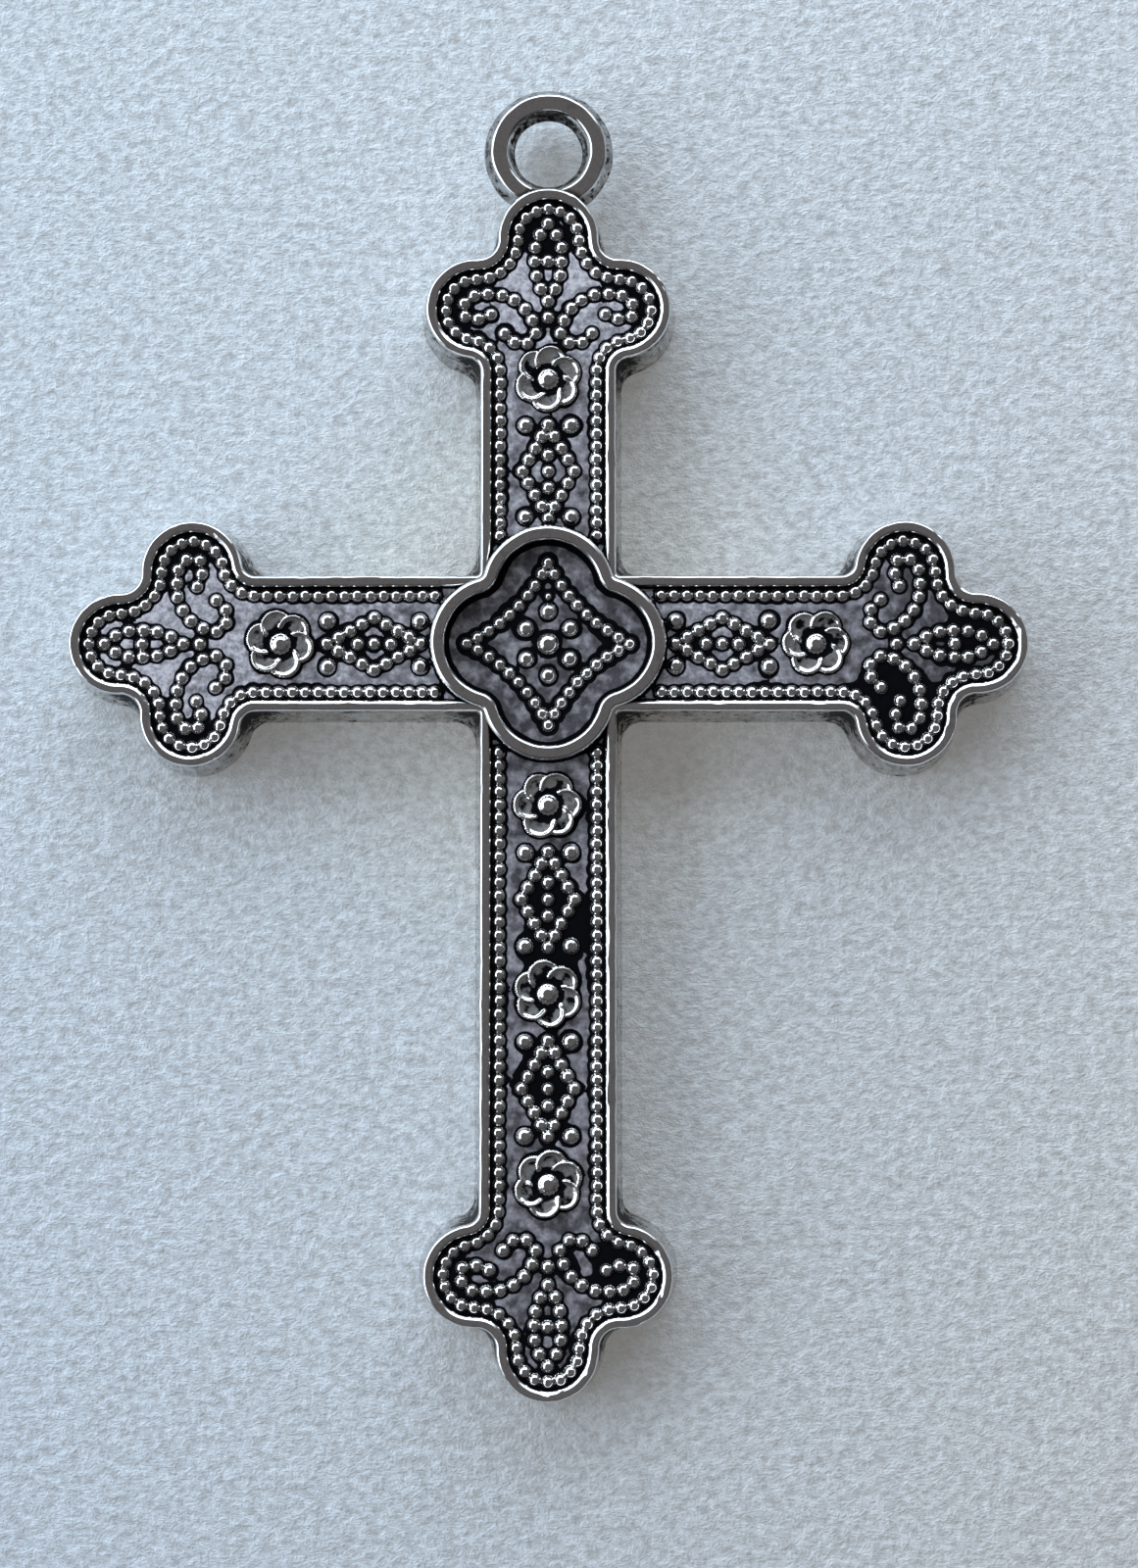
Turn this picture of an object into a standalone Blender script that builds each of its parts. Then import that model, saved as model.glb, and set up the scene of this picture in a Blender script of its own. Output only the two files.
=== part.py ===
"""Cast cross pendant: beaded bars, trefoil ends, a raised quatrefoil medallion and a hanging ring.

The cross lies face up on its flat back, metres, +Z up. The ring points to +Y and the arms lie along X.
Plane points are worked out from the crossing of the bars. An arm has coordinates of its own:
u runs outward along the arm from the stem of its trefoil, and v runs across it.
"""

import math

import bmesh
import bpy
from mathutils import Matrix, Vector

# Body
BAR_WIDTH = 0.0082
BODY_THICKNESS = 0.0038
SIDE_REACH = 0.0211
TOP_REACH = 0.02005
FOOT_REACH = 0.0374
WALL_FLARE = 0.0004
BACK_FILLET = 0.0013
CROSSING_FILLET = 0.00025

# Trefoil, measured from its stem
LOBE_RADIUS = 0.00305
SIDE_LOBE_OUT = 0.0005
SIDE_LOBE_ACROSS = 0.0044
TIP_LOBE_OUT = 0.00487
NOTCH_FILLET = 0.0012
FOOT_FILLET = 0.00085

# Rim and sunk field
RIM_WIDTH = 0.0006
RIM_ROUND = 0.00018
FIELD_DEPTH = 0.00045

# Medallion
MEDALLION_LOBE_OUT = 0.00308
MEDALLION_LOBE_RADIUS = 0.00404
MEDALLION_BAND = 0.00085
MEDALLION_RISE = 0.0005
MEDALLION_ROUND = 0.00022
MEDALLION_CUSP_FILLET = 0.0005

# Hanging ring: its root is how far the wire is set into the tip of the top lobe
RING_HOLE_RADIUS = 0.00205
RING_WIRE_RADIUS = 0.00098
RING_ROOT = 0.00138
RING_HEIGHT = 0.0019

# Beads
BEAD_RADIUS = 0.00036
BEAD_HEIGHT = 0.0004
BEAD_INSET = 0.00115
BORDER_GAP = 0.00005
ROW_GAP = 0.000067
CARVING_GAP = 0.0001
STUD_RADIUS = 0.00046
STUD_HEIGHT = 0.0005
HEART_HEIGHT = 0.0006

# Leaf of the trefoil, and the scroll on each side of it
LEAF_START = 0.00103
LEAF_END = 0.00582
LEAF_HALF_WIDTH = 0.00082
LEAF_HEART = 0.0035
SCROLL_PATH = (
    (-0.00098, 0.00268),
    (-0.00172, 0.00172),
    (-0.00102, 0.00075),
    (0.0005, 0.00136),
    (0.00135, 0.00274),
    (0.00139, 0.00438),
    (0.0006, 0.0054),
    (-0.00003, 0.00446),
    (0.00013, 0.00363),
)

# Motifs along the bars, where diamonds and flowers take turns
MOTIF_PITCH = 0.00567
FIRST_MOTIF = 0.01055
FIRST_FOOT_MOTIF = 0.0098
STEM_CLEARANCE = 0.0037
DIAMOND_HALF_LENGTH = 0.00288
DIAMOND_HALF_WIDTH = 0.0016
DIAMOND_HEART_PITCH = 0.001
STUD_ALONG = 0.00281
STUD_ACROSS = 0.00139

# Flowers: each petal's corners as shares of its turn, the flower's radius and its height
FLOWER_RADIUS = 0.00215
FLOWER_HEIGHT = 0.00036
FLOWER_PETALS = 6
FLOWER_HEART_RADIUS = 0.00065
PETAL_CORNERS = ((0.0, 0.78, 1.0), (0.35, 1.0, 1.0), (0.8, 0.96, 0.55))
PETAL_CREST = 0.88
THROAT_RADIUS = 0.0009
THROAT_HEIGHT = 0.00013

# Beaded star of the medallion
STAR_REACH = 0.00497
STAR_HOLLOW = 0.0006
STAR_HEART_RADIUS = 0.00056
STAR_PAIR_ACROSS = 0.00133
STAR_PAIR_UP = 0.00093
STAR_POLE_UP = 0.00196

# Facets
LOBE_STEPS = 7
FILLET_STEPS = 2
BEAD_SIDES = 4
STUD_SIDES = 6
RING_STEPS = 20
RING_SIDES = 8
MEDALLION_STEPS = 8
PATH_STEPS = 24
SINK = 0.00002

BORDER_PITCH = 2 * BEAD_RADIUS + BORDER_GAP
ROW_PITCH = 2 * BEAD_RADIUS + ROW_GAP
CARVING_PITCH = 2 * BEAD_RADIUS + CARVING_GAP
BEAD = (BEAD_RADIUS, BEAD_HEIGHT, BEAD_SIDES)
STUD = (STUD_RADIUS, STUD_HEIGHT, STUD_SIDES)
STAR_HEART = (STAR_HEART_RADIUS, HEART_HEIGHT, STUD_SIDES)
FLOWER_HEART = (FLOWER_HEART_RADIUS, HEART_HEIGHT, STUD_SIDES)
FIELD_Z = BODY_THICKNESS - FIELD_DEPTH
MEDALLION_TOP_Z = BODY_THICKNESS + MEDALLION_RISE
RING_MIDDLE_RADIUS = RING_HOLE_RADIUS + RING_WIRE_RADIUS
RING_OUTER_RADIUS = RING_MIDDLE_RADIUS + RING_WIRE_RADIUS
RING_OUT = TOP_REACH + TIP_LOBE_OUT + LOBE_RADIUS + RING_OUTER_RADIUS - RING_ROOT
TOP_Y = RING_OUT + RING_OUTER_RADIUS
BOTTOM_Y = -(FOOT_REACH + TIP_LOBE_OUT + LOBE_RADIUS + WALL_FLARE)
CROSSING_Y = -(TOP_Y + BOTTOM_Y) / 2
FULL_TURN = 2 * math.pi
QUARTER_TURN = math.pi / 2

# Each arm: how far its stem is from the crossing, its heading, and its first motif's place and kinds in turn
ARMS = (
    (SIDE_REACH, 0.0, FIRST_MOTIF, ("diamond", "flower")),
    (TOP_REACH, QUARTER_TURN, FIRST_MOTIF, ("diamond", "flower")),
    (SIDE_REACH, 2 * QUARTER_TURN, FIRST_MOTIF, ("diamond", "flower")),
    (FOOT_REACH, 3 * QUARTER_TURN, FIRST_FOOT_MOTIF, ("flower", "diamond")),
)


def turn(point, angle):
    cos, sin = math.cos(angle), math.sin(angle)
    return (point[0] * cos - point[1] * sin, point[0] * sin + point[1] * cos)


def mirrored(points):
    return [(u, -v) for u, v in points]


def heading(start, end):
    return math.atan2(end[1] - start[1], end[0] - start[0])


def arc(centre, radius, start, end, steps):
    """Points of an arc from start up to, but not including, end."""
    turns = [start + (end - start) * i / steps for i in range(steps)]
    return [(centre[0] + radius * math.cos(t), centre[1] + radius * math.sin(t)) for t in turns]


def trefoil_half(offset, fillets, lobe_steps, fillet_steps):
    """Half of a trefoil's outline, from the bar's edge to the tip, moved outward by offset."""
    notch_fillet, foot_fillet = fillets
    radius = LOBE_RADIUS + offset
    edge = BAR_WIDTH / 2 + offset
    side = (SIDE_LOBE_OUT, -SIDE_LOBE_ACROSS)
    tip = (TIP_LOBE_OUT, 0.0)

    rise = SIDE_LOBE_ACROSS - edge - foot_fillet
    foot = (SIDE_LOBE_OUT - math.sqrt((radius + foot_fillet) ** 2 - rise ** 2), -(edge + foot_fillet))
    half_gap = math.dist(side, tip) / 2
    out = math.sqrt((radius + notch_fillet) ** 2 - half_gap ** 2)
    across = heading(side, tip) - QUARTER_TURN
    middle = ((side[0] + tip[0]) / 2, (side[1] + tip[1]) / 2)
    notch = (middle[0] + out * math.cos(across), middle[1] + out * math.sin(across))

    points = arc(foot, foot_fillet, QUARTER_TURN, heading(foot, side), fillet_steps)
    points += arc(side, radius, heading(side, foot) % FULL_TURN, heading(side, notch) + FULL_TURN, lobe_steps)
    points += arc(notch, notch_fillet, heading(notch, side) % FULL_TURN, heading(notch, tip), fillet_steps)
    points += arc(tip, radius, heading(tip, notch), 0.0, lobe_steps // 2 + 1)
    points.append((tip[0] + radius, 0.0))
    return points


def outline(offset, fillets, crossing_fillet):
    """Whole outline of the cross, anticlockwise, moved outward by offset."""
    half = trefoil_half(offset, fillets, LOBE_STEPS, FILLET_STEPS)
    trefoil = half + mirrored(reversed(half[:-1]))
    edge = BAR_WIDTH / 2 + offset
    corner = edge + crossing_fillet
    bend = arc((corner, corner), crossing_fillet, -QUARTER_TURN, -2 * QUARTER_TURN, FILLET_STEPS)
    bend.append((edge, corner))
    points = []
    for reach, angle, _, _ in ARMS:
        points += [turn((reach + u, v), angle) for u, v in trefoil]
        points += [turn(point, angle) for point in bend]
    return points


def parallel_outline(offset):
    """The outline moved by offset, with hollow corners that grow or shrink to match."""
    fillets = (NOTCH_FILLET - offset, FOOT_FILLET - offset)
    return outline(offset, fillets, CROSSING_FILLET - offset)


def back_outline():
    """The outline at the back, where the wall has flared out and its hollow corners are wider."""
    return outline(WALL_FLARE, (BACK_FILLET, BACK_FILLET), BACK_FILLET)


def quatrefoil(offset):
    """Four round lobes that meet in cusps, moved outward by offset."""
    radius = MEDALLION_LOBE_RADIUS + offset
    cusp = MEDALLION_CUSP_FILLET - offset
    lobe = (MEDALLION_LOBE_OUT, 0.0)
    diagonal = (lobe[0] + math.sqrt(2 * (radius + cusp) ** 2 - lobe[0] ** 2)) / 2
    hollow = (diagonal, diagonal)
    limit = heading(lobe, hollow)
    start = heading(hollow, lobe) % FULL_TURN
    finish = heading(hollow, turn(lobe, QUARTER_TURN)) % FULL_TURN
    quarter = arc(lobe, radius, -limit, limit, MEDALLION_STEPS)
    quarter += arc(hollow, cusp, start, finish, FILLET_STEPS)
    return [turn(point, QUARTER_TURN * k) for k in range(4) for point in quarter]


def under_medallion(spot):
    lobes = [turn((MEDALLION_LOBE_OUT, 0.0), QUARTER_TURN * k) for k in range(4)]
    return min(math.dist(spot, lobe) for lobe in lobes) < MEDALLION_LOBE_RADIUS + BEAD_RADIUS / 2


def path_length(path):
    return sum(math.dist(start, end) for start, end in zip(path, path[1:]))


def point_along(path, distance):
    """Point of a path at a distance from its start."""
    for start, end in zip(path, path[1:]):
        length = math.dist(start, end)
        if distance <= length:
            share = distance / length
            return (start[0] + (end[0] - start[0]) * share, start[1] + (end[1] - start[1]) * share)
        distance -= length
    return path[-1]


def even_points(path, pitch):
    """Points spread evenly from one end of a path to the other, about a pitch apart."""
    steps = max(1, round(path_length(path) / pitch))
    step = path_length(path) / steps
    return [point_along(path, step * i) for i in range(steps + 1)]


def smooth_path(points):
    """Smooth curve through a few points."""
    ends = [points[0], *points, points[-1]]
    path = []
    for knots in zip(ends, ends[1:], ends[2:], ends[3:]):
        for i in range(PATH_STEPS):
            t = i / PATH_STEPS
            pulls = (2 * t * t - t - t ** 3, 2 - 5 * t * t + 3 * t ** 3, t + 4 * t * t - 3 * t ** 3, t ** 3 - t * t)
            path.append(tuple(sum(pull * knot[k] for pull, knot in zip(pulls, knots)) / 2 for k in range(2)))
    path.append(points[-1])
    return path


def bowed_path(start, end, bow):
    """Bow between two points that stands off the straight line, to the left of its heading."""
    along = heading(start, end)
    span = math.dist(start, end)
    path = []
    for i in range(PATH_STEPS + 1):
        share = i / PATH_STEPS
        x, y = turn((span * share, 4 * bow * share * (1 - share)), along)
        path.append((start[0] + x, start[1] + y))
    return path


def border_path(reach):
    """Line of the beads inside the rim, from the trefoil's tip round its lobes and down the bar."""
    fillets = (NOTCH_FILLET + BEAD_INSET, FOOT_FILLET + BEAD_INSET)
    border = list(reversed(trefoil_half(-BEAD_INSET, fillets, PATH_STEPS, PATH_STEPS)))
    row = [border[-1], (-reach, border[-1][1])]
    return border, row


def border_beads(reach):
    """Beads of half an arm: close together round the trefoil, a little wider apart down the bar."""
    border, row = border_path(reach)
    whole = border + row[1:]
    beads = []
    travelled = 0.0
    while travelled < path_length(whole):
        beads.append(point_along(whole, travelled))
        travelled += BORDER_PITCH if travelled < path_length(border) else ROW_PITCH
    return beads


def string_beads(beads, spots, shape=BEAD):
    """Adds beads to a dictionary of spots, each turned to lie corner to corner along its string."""
    for k, (x, y) in enumerate(spots):
        before = spots[max(k - 1, 0)]
        after = spots[min(k + 1, len(spots) - 1)]
        beads.setdefault((round(x, 6), round(y, 6)), (shape, heading(before, after)))


def trefoil_beads(beads, reach, angle):
    """Border of one arm, and the leaf, stem and two scrolls of its trefoil."""
    border = border_beads(reach)
    leaf = even_points(bowed_path((LEAF_START, 0.0), (LEAF_END, 0.0), LEAF_HALF_WIDTH), CARVING_PITCH)
    scroll = even_points(smooth_path(SCROLL_PATH), CARVING_PITCH)
    for side in (border, mirrored(border)):
        spots = [turn((reach + u, v), angle) for u, v in side]
        string_beads(beads, [spot for spot in spots if not under_medallion(spot)])
    for string in (leaf, mirrored(leaf), scroll, mirrored(scroll), [(LEAF_HEART, 0.0)], [(0.0, 0.0)]):
        string_beads(beads, [turn((reach + u, v), angle) for u, v in string])


def diamond_beads(beads, out, angle):
    """A diamond of beads with a row of three inside and a stud at each corner of its panel."""
    side = even_points([(DIAMOND_HALF_LENGTH, 0.0), (0.0, DIAMOND_HALF_WIDTH)], CARVING_PITCH)
    for a in (-1, 1):
        for b in (-1, 1):
            string_beads(beads, [turn((out + a * u, b * v), angle) for u, v in side])
            string_beads(beads, [turn((out + a * STUD_ALONG, b * STUD_ACROSS), angle)], STUD)
    hearts = [(out + k * DIAMOND_HEART_PITCH, 0.0) for k in (-1, 0, 1)]
    string_beads(beads, [turn(heart, angle) for heart in hearts])


def star_beads(beads):
    """The beaded star of the medallion and the studs inside it."""
    side = even_points(bowed_path((STAR_REACH, 0.0), (0.0, STAR_REACH), STAR_HOLLOW), ROW_PITCH)
    for k in range(4):
        string_beads(beads, [turn(point, QUARTER_TURN * k) for point in side])
    studs = [(a * STAR_PAIR_ACROSS, b * STAR_PAIR_UP) for a in (-1, 1) for b in (-1, 1)]
    studs += [(0.0, STAR_POLE_UP), (0.0, -STAR_POLE_UP)]
    for stud in studs:
        string_beads(beads, [stud], STUD)
    string_beads(beads, [(0.0, 0.0)], STAR_HEART)


def motif_spots(name):
    """Distance from the crossing and heading of every motif of one kind that fits on the arms."""
    spots = []
    for reach, angle, first, kinds in ARMS:
        motifs = int((reach - first - STEM_CLEARANCE) / MOTIF_PITCH) + 1
        spots += [(first + MOTIF_PITCH * k, angle) for k in range(motifs) if kinds[k % 2] == name]
    return spots


def add_bead(bm, spot, shape, twist):
    """A pointed bead that stands on the field, sunk a little into it."""
    radius, height, sides = shape
    depth = height + SINK
    foot = radius * depth / height
    place = Matrix.Translation(Vector((*spot, FIELD_Z - SINK + depth / 2)))
    place @= Matrix.Rotation(twist, 4, "Z")
    bmesh.ops.create_cone(bm, cap_ends=True, segments=sides, radius1=foot, radius2=0.0, depth=depth, matrix=place)


def loft(bm, levels):
    """Closed solid through stacked outlines with equal numbers of points, lowest first."""
    rings = [[bm.verts.new((x, y, z)) for x, y in points] for z, points in levels]
    count = len(rings[0])
    for lower, upper in zip(rings, rings[1:]):
        for i in range(count):
            j = (i + 1) % count
            bm.faces.new((lower[i], lower[j], upper[j], upper[i]))
    bm.faces.new(list(reversed(rings[0])))
    bm.faces.new(rings[-1])


def petal_ring(centre, radius, shape):
    """Ring of a flower's corners: shape gives each corner's share of the radius and its height."""
    ring = []
    for petal in range(FLOWER_PETALS):
        for share, reach, lift in PETAL_CORNERS:
            out, z = shape(reach, lift)
            x, y = turn((radius * out, 0.0), FULL_TURN * (petal + share) / FLOWER_PETALS)
            ring.append((centre[0] + x, centre[1] + y, z))
    return ring


def add_flower(bm, centre):
    """Pinwheel of petals: each rises from its neighbour's low edge, round a sunk throat."""
    rings = (
        petal_ring(centre, FLOWER_RADIUS, lambda reach, lift: (reach, FIELD_Z - SINK)),
        petal_ring(centre, FLOWER_RADIUS * PETAL_CREST, lambda reach, lift: (reach, FIELD_Z + FLOWER_HEIGHT * lift)),
        petal_ring(centre, THROAT_RADIUS, lambda reach, lift: (1.0, FIELD_Z + THROAT_HEIGHT)),
    )
    verts = [[bm.verts.new(point) for point in ring] for ring in rings]
    count = len(verts[0])
    for lower, upper in zip(verts, verts[1:]):
        for i in range(count):
            j = (i + 1) % count
            bm.faces.new((lower[i], lower[j], upper[j], upper[i]))
    bm.faces.new(list(reversed(verts[0])))
    bm.faces.new(verts[-1])


def new_object(name, bm, collection):
    mesh = bpy.data.meshes.new(name)
    bmesh.ops.recalc_face_normals(bm, faces=bm.faces)
    bm.to_mesh(mesh)
    bm.free()
    item = bpy.data.objects.new(name, mesh)
    item.location.y = CROSSING_Y
    collection.objects.link(item)
    return item


def make_body(collection):
    """Bars and trefoils: a flared wall, a rounded rim and the sunk field."""
    bm = bmesh.new()
    loft(bm, (
        (0.0, back_outline()),
        (BODY_THICKNESS - RIM_ROUND, parallel_outline(0.0)),
        (BODY_THICKNESS, parallel_outline(-RIM_ROUND)),
        (BODY_THICKNESS, parallel_outline(RIM_ROUND - RIM_WIDTH)),
        (FIELD_Z, parallel_outline(-RIM_WIDTH)),
    ))
    return new_object("cross", bm, collection)


def make_medallion(collection):
    """Quatrefoil band that stands above the rims, round a floor just above the field."""
    bm = bmesh.new()
    loft(bm, (
        (FIELD_Z - SINK, quatrefoil(0.0)),
        (MEDALLION_TOP_Z - MEDALLION_ROUND, quatrefoil(0.0)),
        (MEDALLION_TOP_Z, quatrefoil(-MEDALLION_ROUND)),
        (MEDALLION_TOP_Z, quatrefoil(MEDALLION_ROUND - MEDALLION_BAND)),
        (FIELD_Z + SINK, quatrefoil(-MEDALLION_BAND)),
    ))
    return new_object("medallion_union", bm, collection)


def make_ring(collection):
    """Round ring that grows out of the wall of the top lobe."""
    bpy.ops.mesh.primitive_torus_add(
        major_segments=RING_STEPS,
        minor_segments=RING_SIDES,
        major_radius=RING_MIDDLE_RADIUS,
        minor_radius=RING_WIRE_RADIUS,
        location=(0.0, CROSSING_Y + RING_OUT, RING_HEIGHT),
    )
    ring = bpy.context.object
    ring.name = "ring_union"
    for owner in list(ring.users_collection):
        owner.objects.unlink(ring)
    collection.objects.link(ring)
    return ring


def make_carving(collection):
    """All strings of beads, studs and flowers on the field."""
    beads = {}
    for reach, angle, _, _ in ARMS:
        trefoil_beads(beads, reach, angle)
    for out, angle in motif_spots("diamond"):
        diamond_beads(beads, out, angle)
    star_beads(beads)
    bm = bmesh.new()
    for spot, (shape, twist) in beads.items():
        add_bead(bm, spot, shape, twist)
    for out, angle in motif_spots("flower"):
        add_flower(bm, turn((out, 0.0), angle))
    return new_object("carving_union", bm, collection)


def make_hearts(collection):
    """Large bead in the throat of each flower."""
    bm = bmesh.new()
    for out, angle in motif_spots("flower"):
        add_bead(bm, turn((out, 0.0), angle), FLOWER_HEART, angle)
    return new_object("hearts_union", bm, collection)


def unite(body, part):
    part.hide_render = True
    part.display_type = "WIRE"
    join = body.modifiers.new(part.name, "BOOLEAN")
    join.operation = "UNION"
    join.solver = "EXACT"
    join.use_self = True
    join.object = part


def antique_silver():
    """Bright cast alloy, darkened and slightly dulled."""
    material = bpy.data.materials.new("antique_silver")
    material.use_nodes = True
    shader = material.node_tree.nodes["Principled BSDF"]
    shader.inputs["Base Color"].default_value = (0.42, 0.41, 0.4, 1.0)
    shader.inputs["Metallic"].default_value = 1.0
    shader.inputs["Roughness"].default_value = 0.3
    return material


def main():
    for item in list(bpy.data.objects):
        bpy.data.objects.remove(item)
    parts = bpy.data.collections.new("cross_pendant")
    helpers = bpy.data.collections.new("cutters")
    bpy.context.scene.collection.children.link(parts)
    bpy.context.scene.collection.children.link(helpers)
    body = make_body(parts)
    body.data.materials.append(antique_silver())
    for make in (make_medallion, make_ring, make_carving, make_hearts):
        unite(body, make(helpers))


main()
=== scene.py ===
import math
import random

import bpy
import numpy as np
from mathutils import Matrix, Vector, noise
from mathutils.geometry import delaunay_2d_cdt


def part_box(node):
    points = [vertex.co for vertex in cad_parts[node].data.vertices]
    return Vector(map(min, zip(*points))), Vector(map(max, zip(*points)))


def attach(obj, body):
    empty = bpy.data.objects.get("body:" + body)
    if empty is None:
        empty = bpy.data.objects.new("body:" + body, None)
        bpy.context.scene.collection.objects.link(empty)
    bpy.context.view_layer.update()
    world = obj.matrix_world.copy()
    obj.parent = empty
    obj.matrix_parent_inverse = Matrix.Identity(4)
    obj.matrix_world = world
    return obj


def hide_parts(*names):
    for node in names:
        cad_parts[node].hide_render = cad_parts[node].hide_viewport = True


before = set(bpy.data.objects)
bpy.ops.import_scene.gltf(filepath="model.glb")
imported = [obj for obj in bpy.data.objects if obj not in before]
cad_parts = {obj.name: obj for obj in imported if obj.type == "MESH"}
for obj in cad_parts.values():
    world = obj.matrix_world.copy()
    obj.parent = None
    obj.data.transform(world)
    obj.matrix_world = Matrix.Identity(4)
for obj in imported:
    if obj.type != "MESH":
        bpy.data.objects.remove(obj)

# This script dresses a cast cross pendant: beads, petals, rims and patina, all in metres.
# Plane points are worked out from the crossing of the bars. An arm has coordinates of its own:
# u runs outward along the arm from the stem of its trefoil, and v runs across it.

CAD_LOW, CAD_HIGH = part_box("cross")
MM = 0.001

# Body
BAR_WIDTH = 0.0082
BODY_THICKNESS = 0.0038
SIDE_REACH = 0.0211
TOP_REACH = 0.02005
FOOT_REACH = 0.0374
WALL_FLARE = 0.0004
BACK_FILLET = 0.0013
BACK_ROUND = 0.00015
CROSSING_FILLET = 0.00025
BACK_STEPS = 3
WALL_STEPS = 9

# Trefoil, measured from its stem
LOBE_RADIUS = 0.00305
SIDE_LOBE_OUT = 0.0005
SIDE_LOBE_ACROSS = 0.0044
TIP_LOBE_OUT = 0.00487
NOTCH_FILLET = 0.0012
FOOT_FILLET = 0.00085

# Rim and sunk field
RIM_WIDTH = 0.00062
RIM_OUTER = (0.00018, 0.00015)
RIM_INNER = (0.00033, 0.00017)
SHOULDER_STEPS = 5
FIELD_DEPTH = 0.00045
FIELD_WALL = ((-0.00001, 0.0001), (-0.00003, 0.0))
HIDDEN_DEPTH = 0.00015
PLATE_EDGE = 0.0005
PLATE_DEPTH = 0.00025

# Medallion
MEDALLION_LOBE_OUT = 0.00308
MEDALLION_LOBE_RADIUS = 0.00404
MEDALLION_BAND = 0.00085
MEDALLION_RISE = 0.0005
MEDALLION_OUTER = (0.0003, 0.00022)
MEDALLION_INNER = (0.00022, 0.00016)
MEDALLION_CUSP_FILLET = 0.0005
MEDALLION_SEAM = 0.0004
MEDALLION_WALL_FOOT = 0.0003
MEDALLION_EDGE_MARGIN = 0.00005

# Hanging ring: its root is how far the wire is set into the tip of the top lobe
RING_HOLE_RADIUS = 0.00205
RING_WIRE_RADIUS = 0.00098
RING_ROOT = 0.00138
RING_HEIGHT = 0.0019
RING_TOP_HALF_WIDTH = 0.00042
RING_EDGE_ROUND = 0.00026
RING_STEPS = 128
RING_CORNER_STEPS = 5
RING_WALL_SPACING = 0.0001

# Beads
BEAD_RADIUS = 0.00036
BEAD_INSET = 0.00115
BORDER_GAP = 0.00005
ROW_GAP = 0.000067
CARVING_GAP = 0.0001
STUD_RADIUS = 0.00046
BEAD_SIDES = 14
BEAD_RINGS = (0.3, 0.52, 0.7, 0.84, 0.94, 1.0)
BEAD_FULLNESS = 1.07
BEAD_EDGE_SLOPE = math.radians(62)
BEAD_FOOT = 0.0001
BEAD_WANDER = 0.00002
BEAD_UNEVEN = 0.03
BEAD_SEAM = 0.00009
SEAM_HEIGHT = 0.3
SEAM_DARKNESS = 0.42
BEAD_RING_TWIST = 0.22

# Leaf of the trefoil, and the scroll on each side of it
LEAF_START = 0.00103
LEAF_END = 0.00582
LEAF_HALF_WIDTH = 0.00082
LEAF_BLUNTNESS = 0.35
LEAF_HEART = 0.0035
SCROLL_PATH = (
    (-0.00098, 0.00268),
    (-0.00172, 0.00172),
    (-0.00102, 0.00075),
    (0.0005, 0.00136),
    (0.00135, 0.00274),
    (0.00141, 0.00428),
    (0.00105, 0.00504),
    (0.00015, 0.00518),
    (-0.0001, 0.00434),
    (0.00018, 0.00348),
)

# Motifs along the bars, where diamonds and flowers take turns
MOTIF_PITCH = 0.00567
FIRST_MOTIF = 0.01055
FIRST_FOOT_MOTIF = 0.0098
STEM_CLEARANCE = 0.0037
DIAMOND_HALF_LENGTH = 0.00288
DIAMOND_HALF_WIDTH = 0.0016
DIAMOND_HEART_PITCH = 0.001
STUD_ALONG = 0.00281
STUD_ACROSS = 0.00139

# Flowers: petals as shares of the flower's radius, heights above the field
FLOWER_RADIUS = 0.00204
FLOWER_PETALS = 6
FLOWER_HEART_RADIUS = 0.00058
PETAL_OUT = 0.54
PETAL_RADIUS = 0.46
PETAL_SWING = 0.1
PETAL_UNEVEN = 0.02
PETAL_HEIGHT = 0.00036
PETAL_TILT = 0.2
PETAL_SIDES = 44
PETAL_LEAST_SIDES = 8
PETAL_RING_TWIST = 0.1
PETAL_MARGIN = 1.07
PETAL_EDGE = 0.9999
PETAL_RINGS = (1.0, 0.965, 0.91, 0.85, 0.78, 0.68, 0.54, 0.36, 0.16)
PETAL_LIFTS = (0.35, 0.92, 1.0, 0.85, 0.62, 0.48, 0.4, 0.38, 0.38)
PETAL_SEAM = 0.00007
PETAL_SHINE = -0.037
RIDGE_SHINE = -0.3
RIDGE_START = 0.72
RIDGE_SLOPE = 0.1
THROAT_RADIUS = 0.0009
THROAT_HEIGHT = 0.00008
THROAT_CORE = 0.6
THROAT_SLOPE = (0.85, 1.25)
THROAT_DARKNESS = (0.94, 1.3)

# Beaded star of the medallion
STAR_REACH = 0.00497
STAR_HOLLOW = 0.0006
STAR_BEAD_RADIUS = 0.00034
STAR_HEART_RADIUS = 0.0006
STAR_PAIR_ACROSS = 0.00133
STAR_PAIR_UP = 0.00093
STAR_POLE_UP = 0.00196
STAR_BUMP_UP = 0.00286
STAR_BUMP_RADIUS = 0.00021

# Pools of black patina on the flats: where each lies, measured from the crossing, and its radius
PATINA_POOLS = (
    (0.0208, -0.0042, 0.0028),
    (0.0262, 0.0014, 0.0016),
    (0.0042, -0.0376, 0.0014),
    (0.0012, -0.0372, 0.0005),
    (0.0016, -0.0172, 0.0011),
    (0.0001, -0.0184, 0.0016),
    (-0.0007, -0.0262, 0.0012),
    (0.0, 0.0247, 0.0009),
)
POOL_SHORE = 0.0008

# Patina beside the carving: a soak is how many millimetres further it spreads
DARK_DIAMONDS = ("foot",)
DIAMOND_SOAK = 0.22
DIAMOND_SHORE = (1.05, 0.85)
ARM_SOAK = {"right": 0.02, "top": 0.01, "left": 0.0, "foot": 0.025}
MEDALLION_SOAK = 0.17
MEDALLION_SOAK_REACH = (0.3, 0.8)
CROWD_REACH = 0.0006
CROWD_START = 1.2
CROWD_SOAK = 0.22

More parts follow.
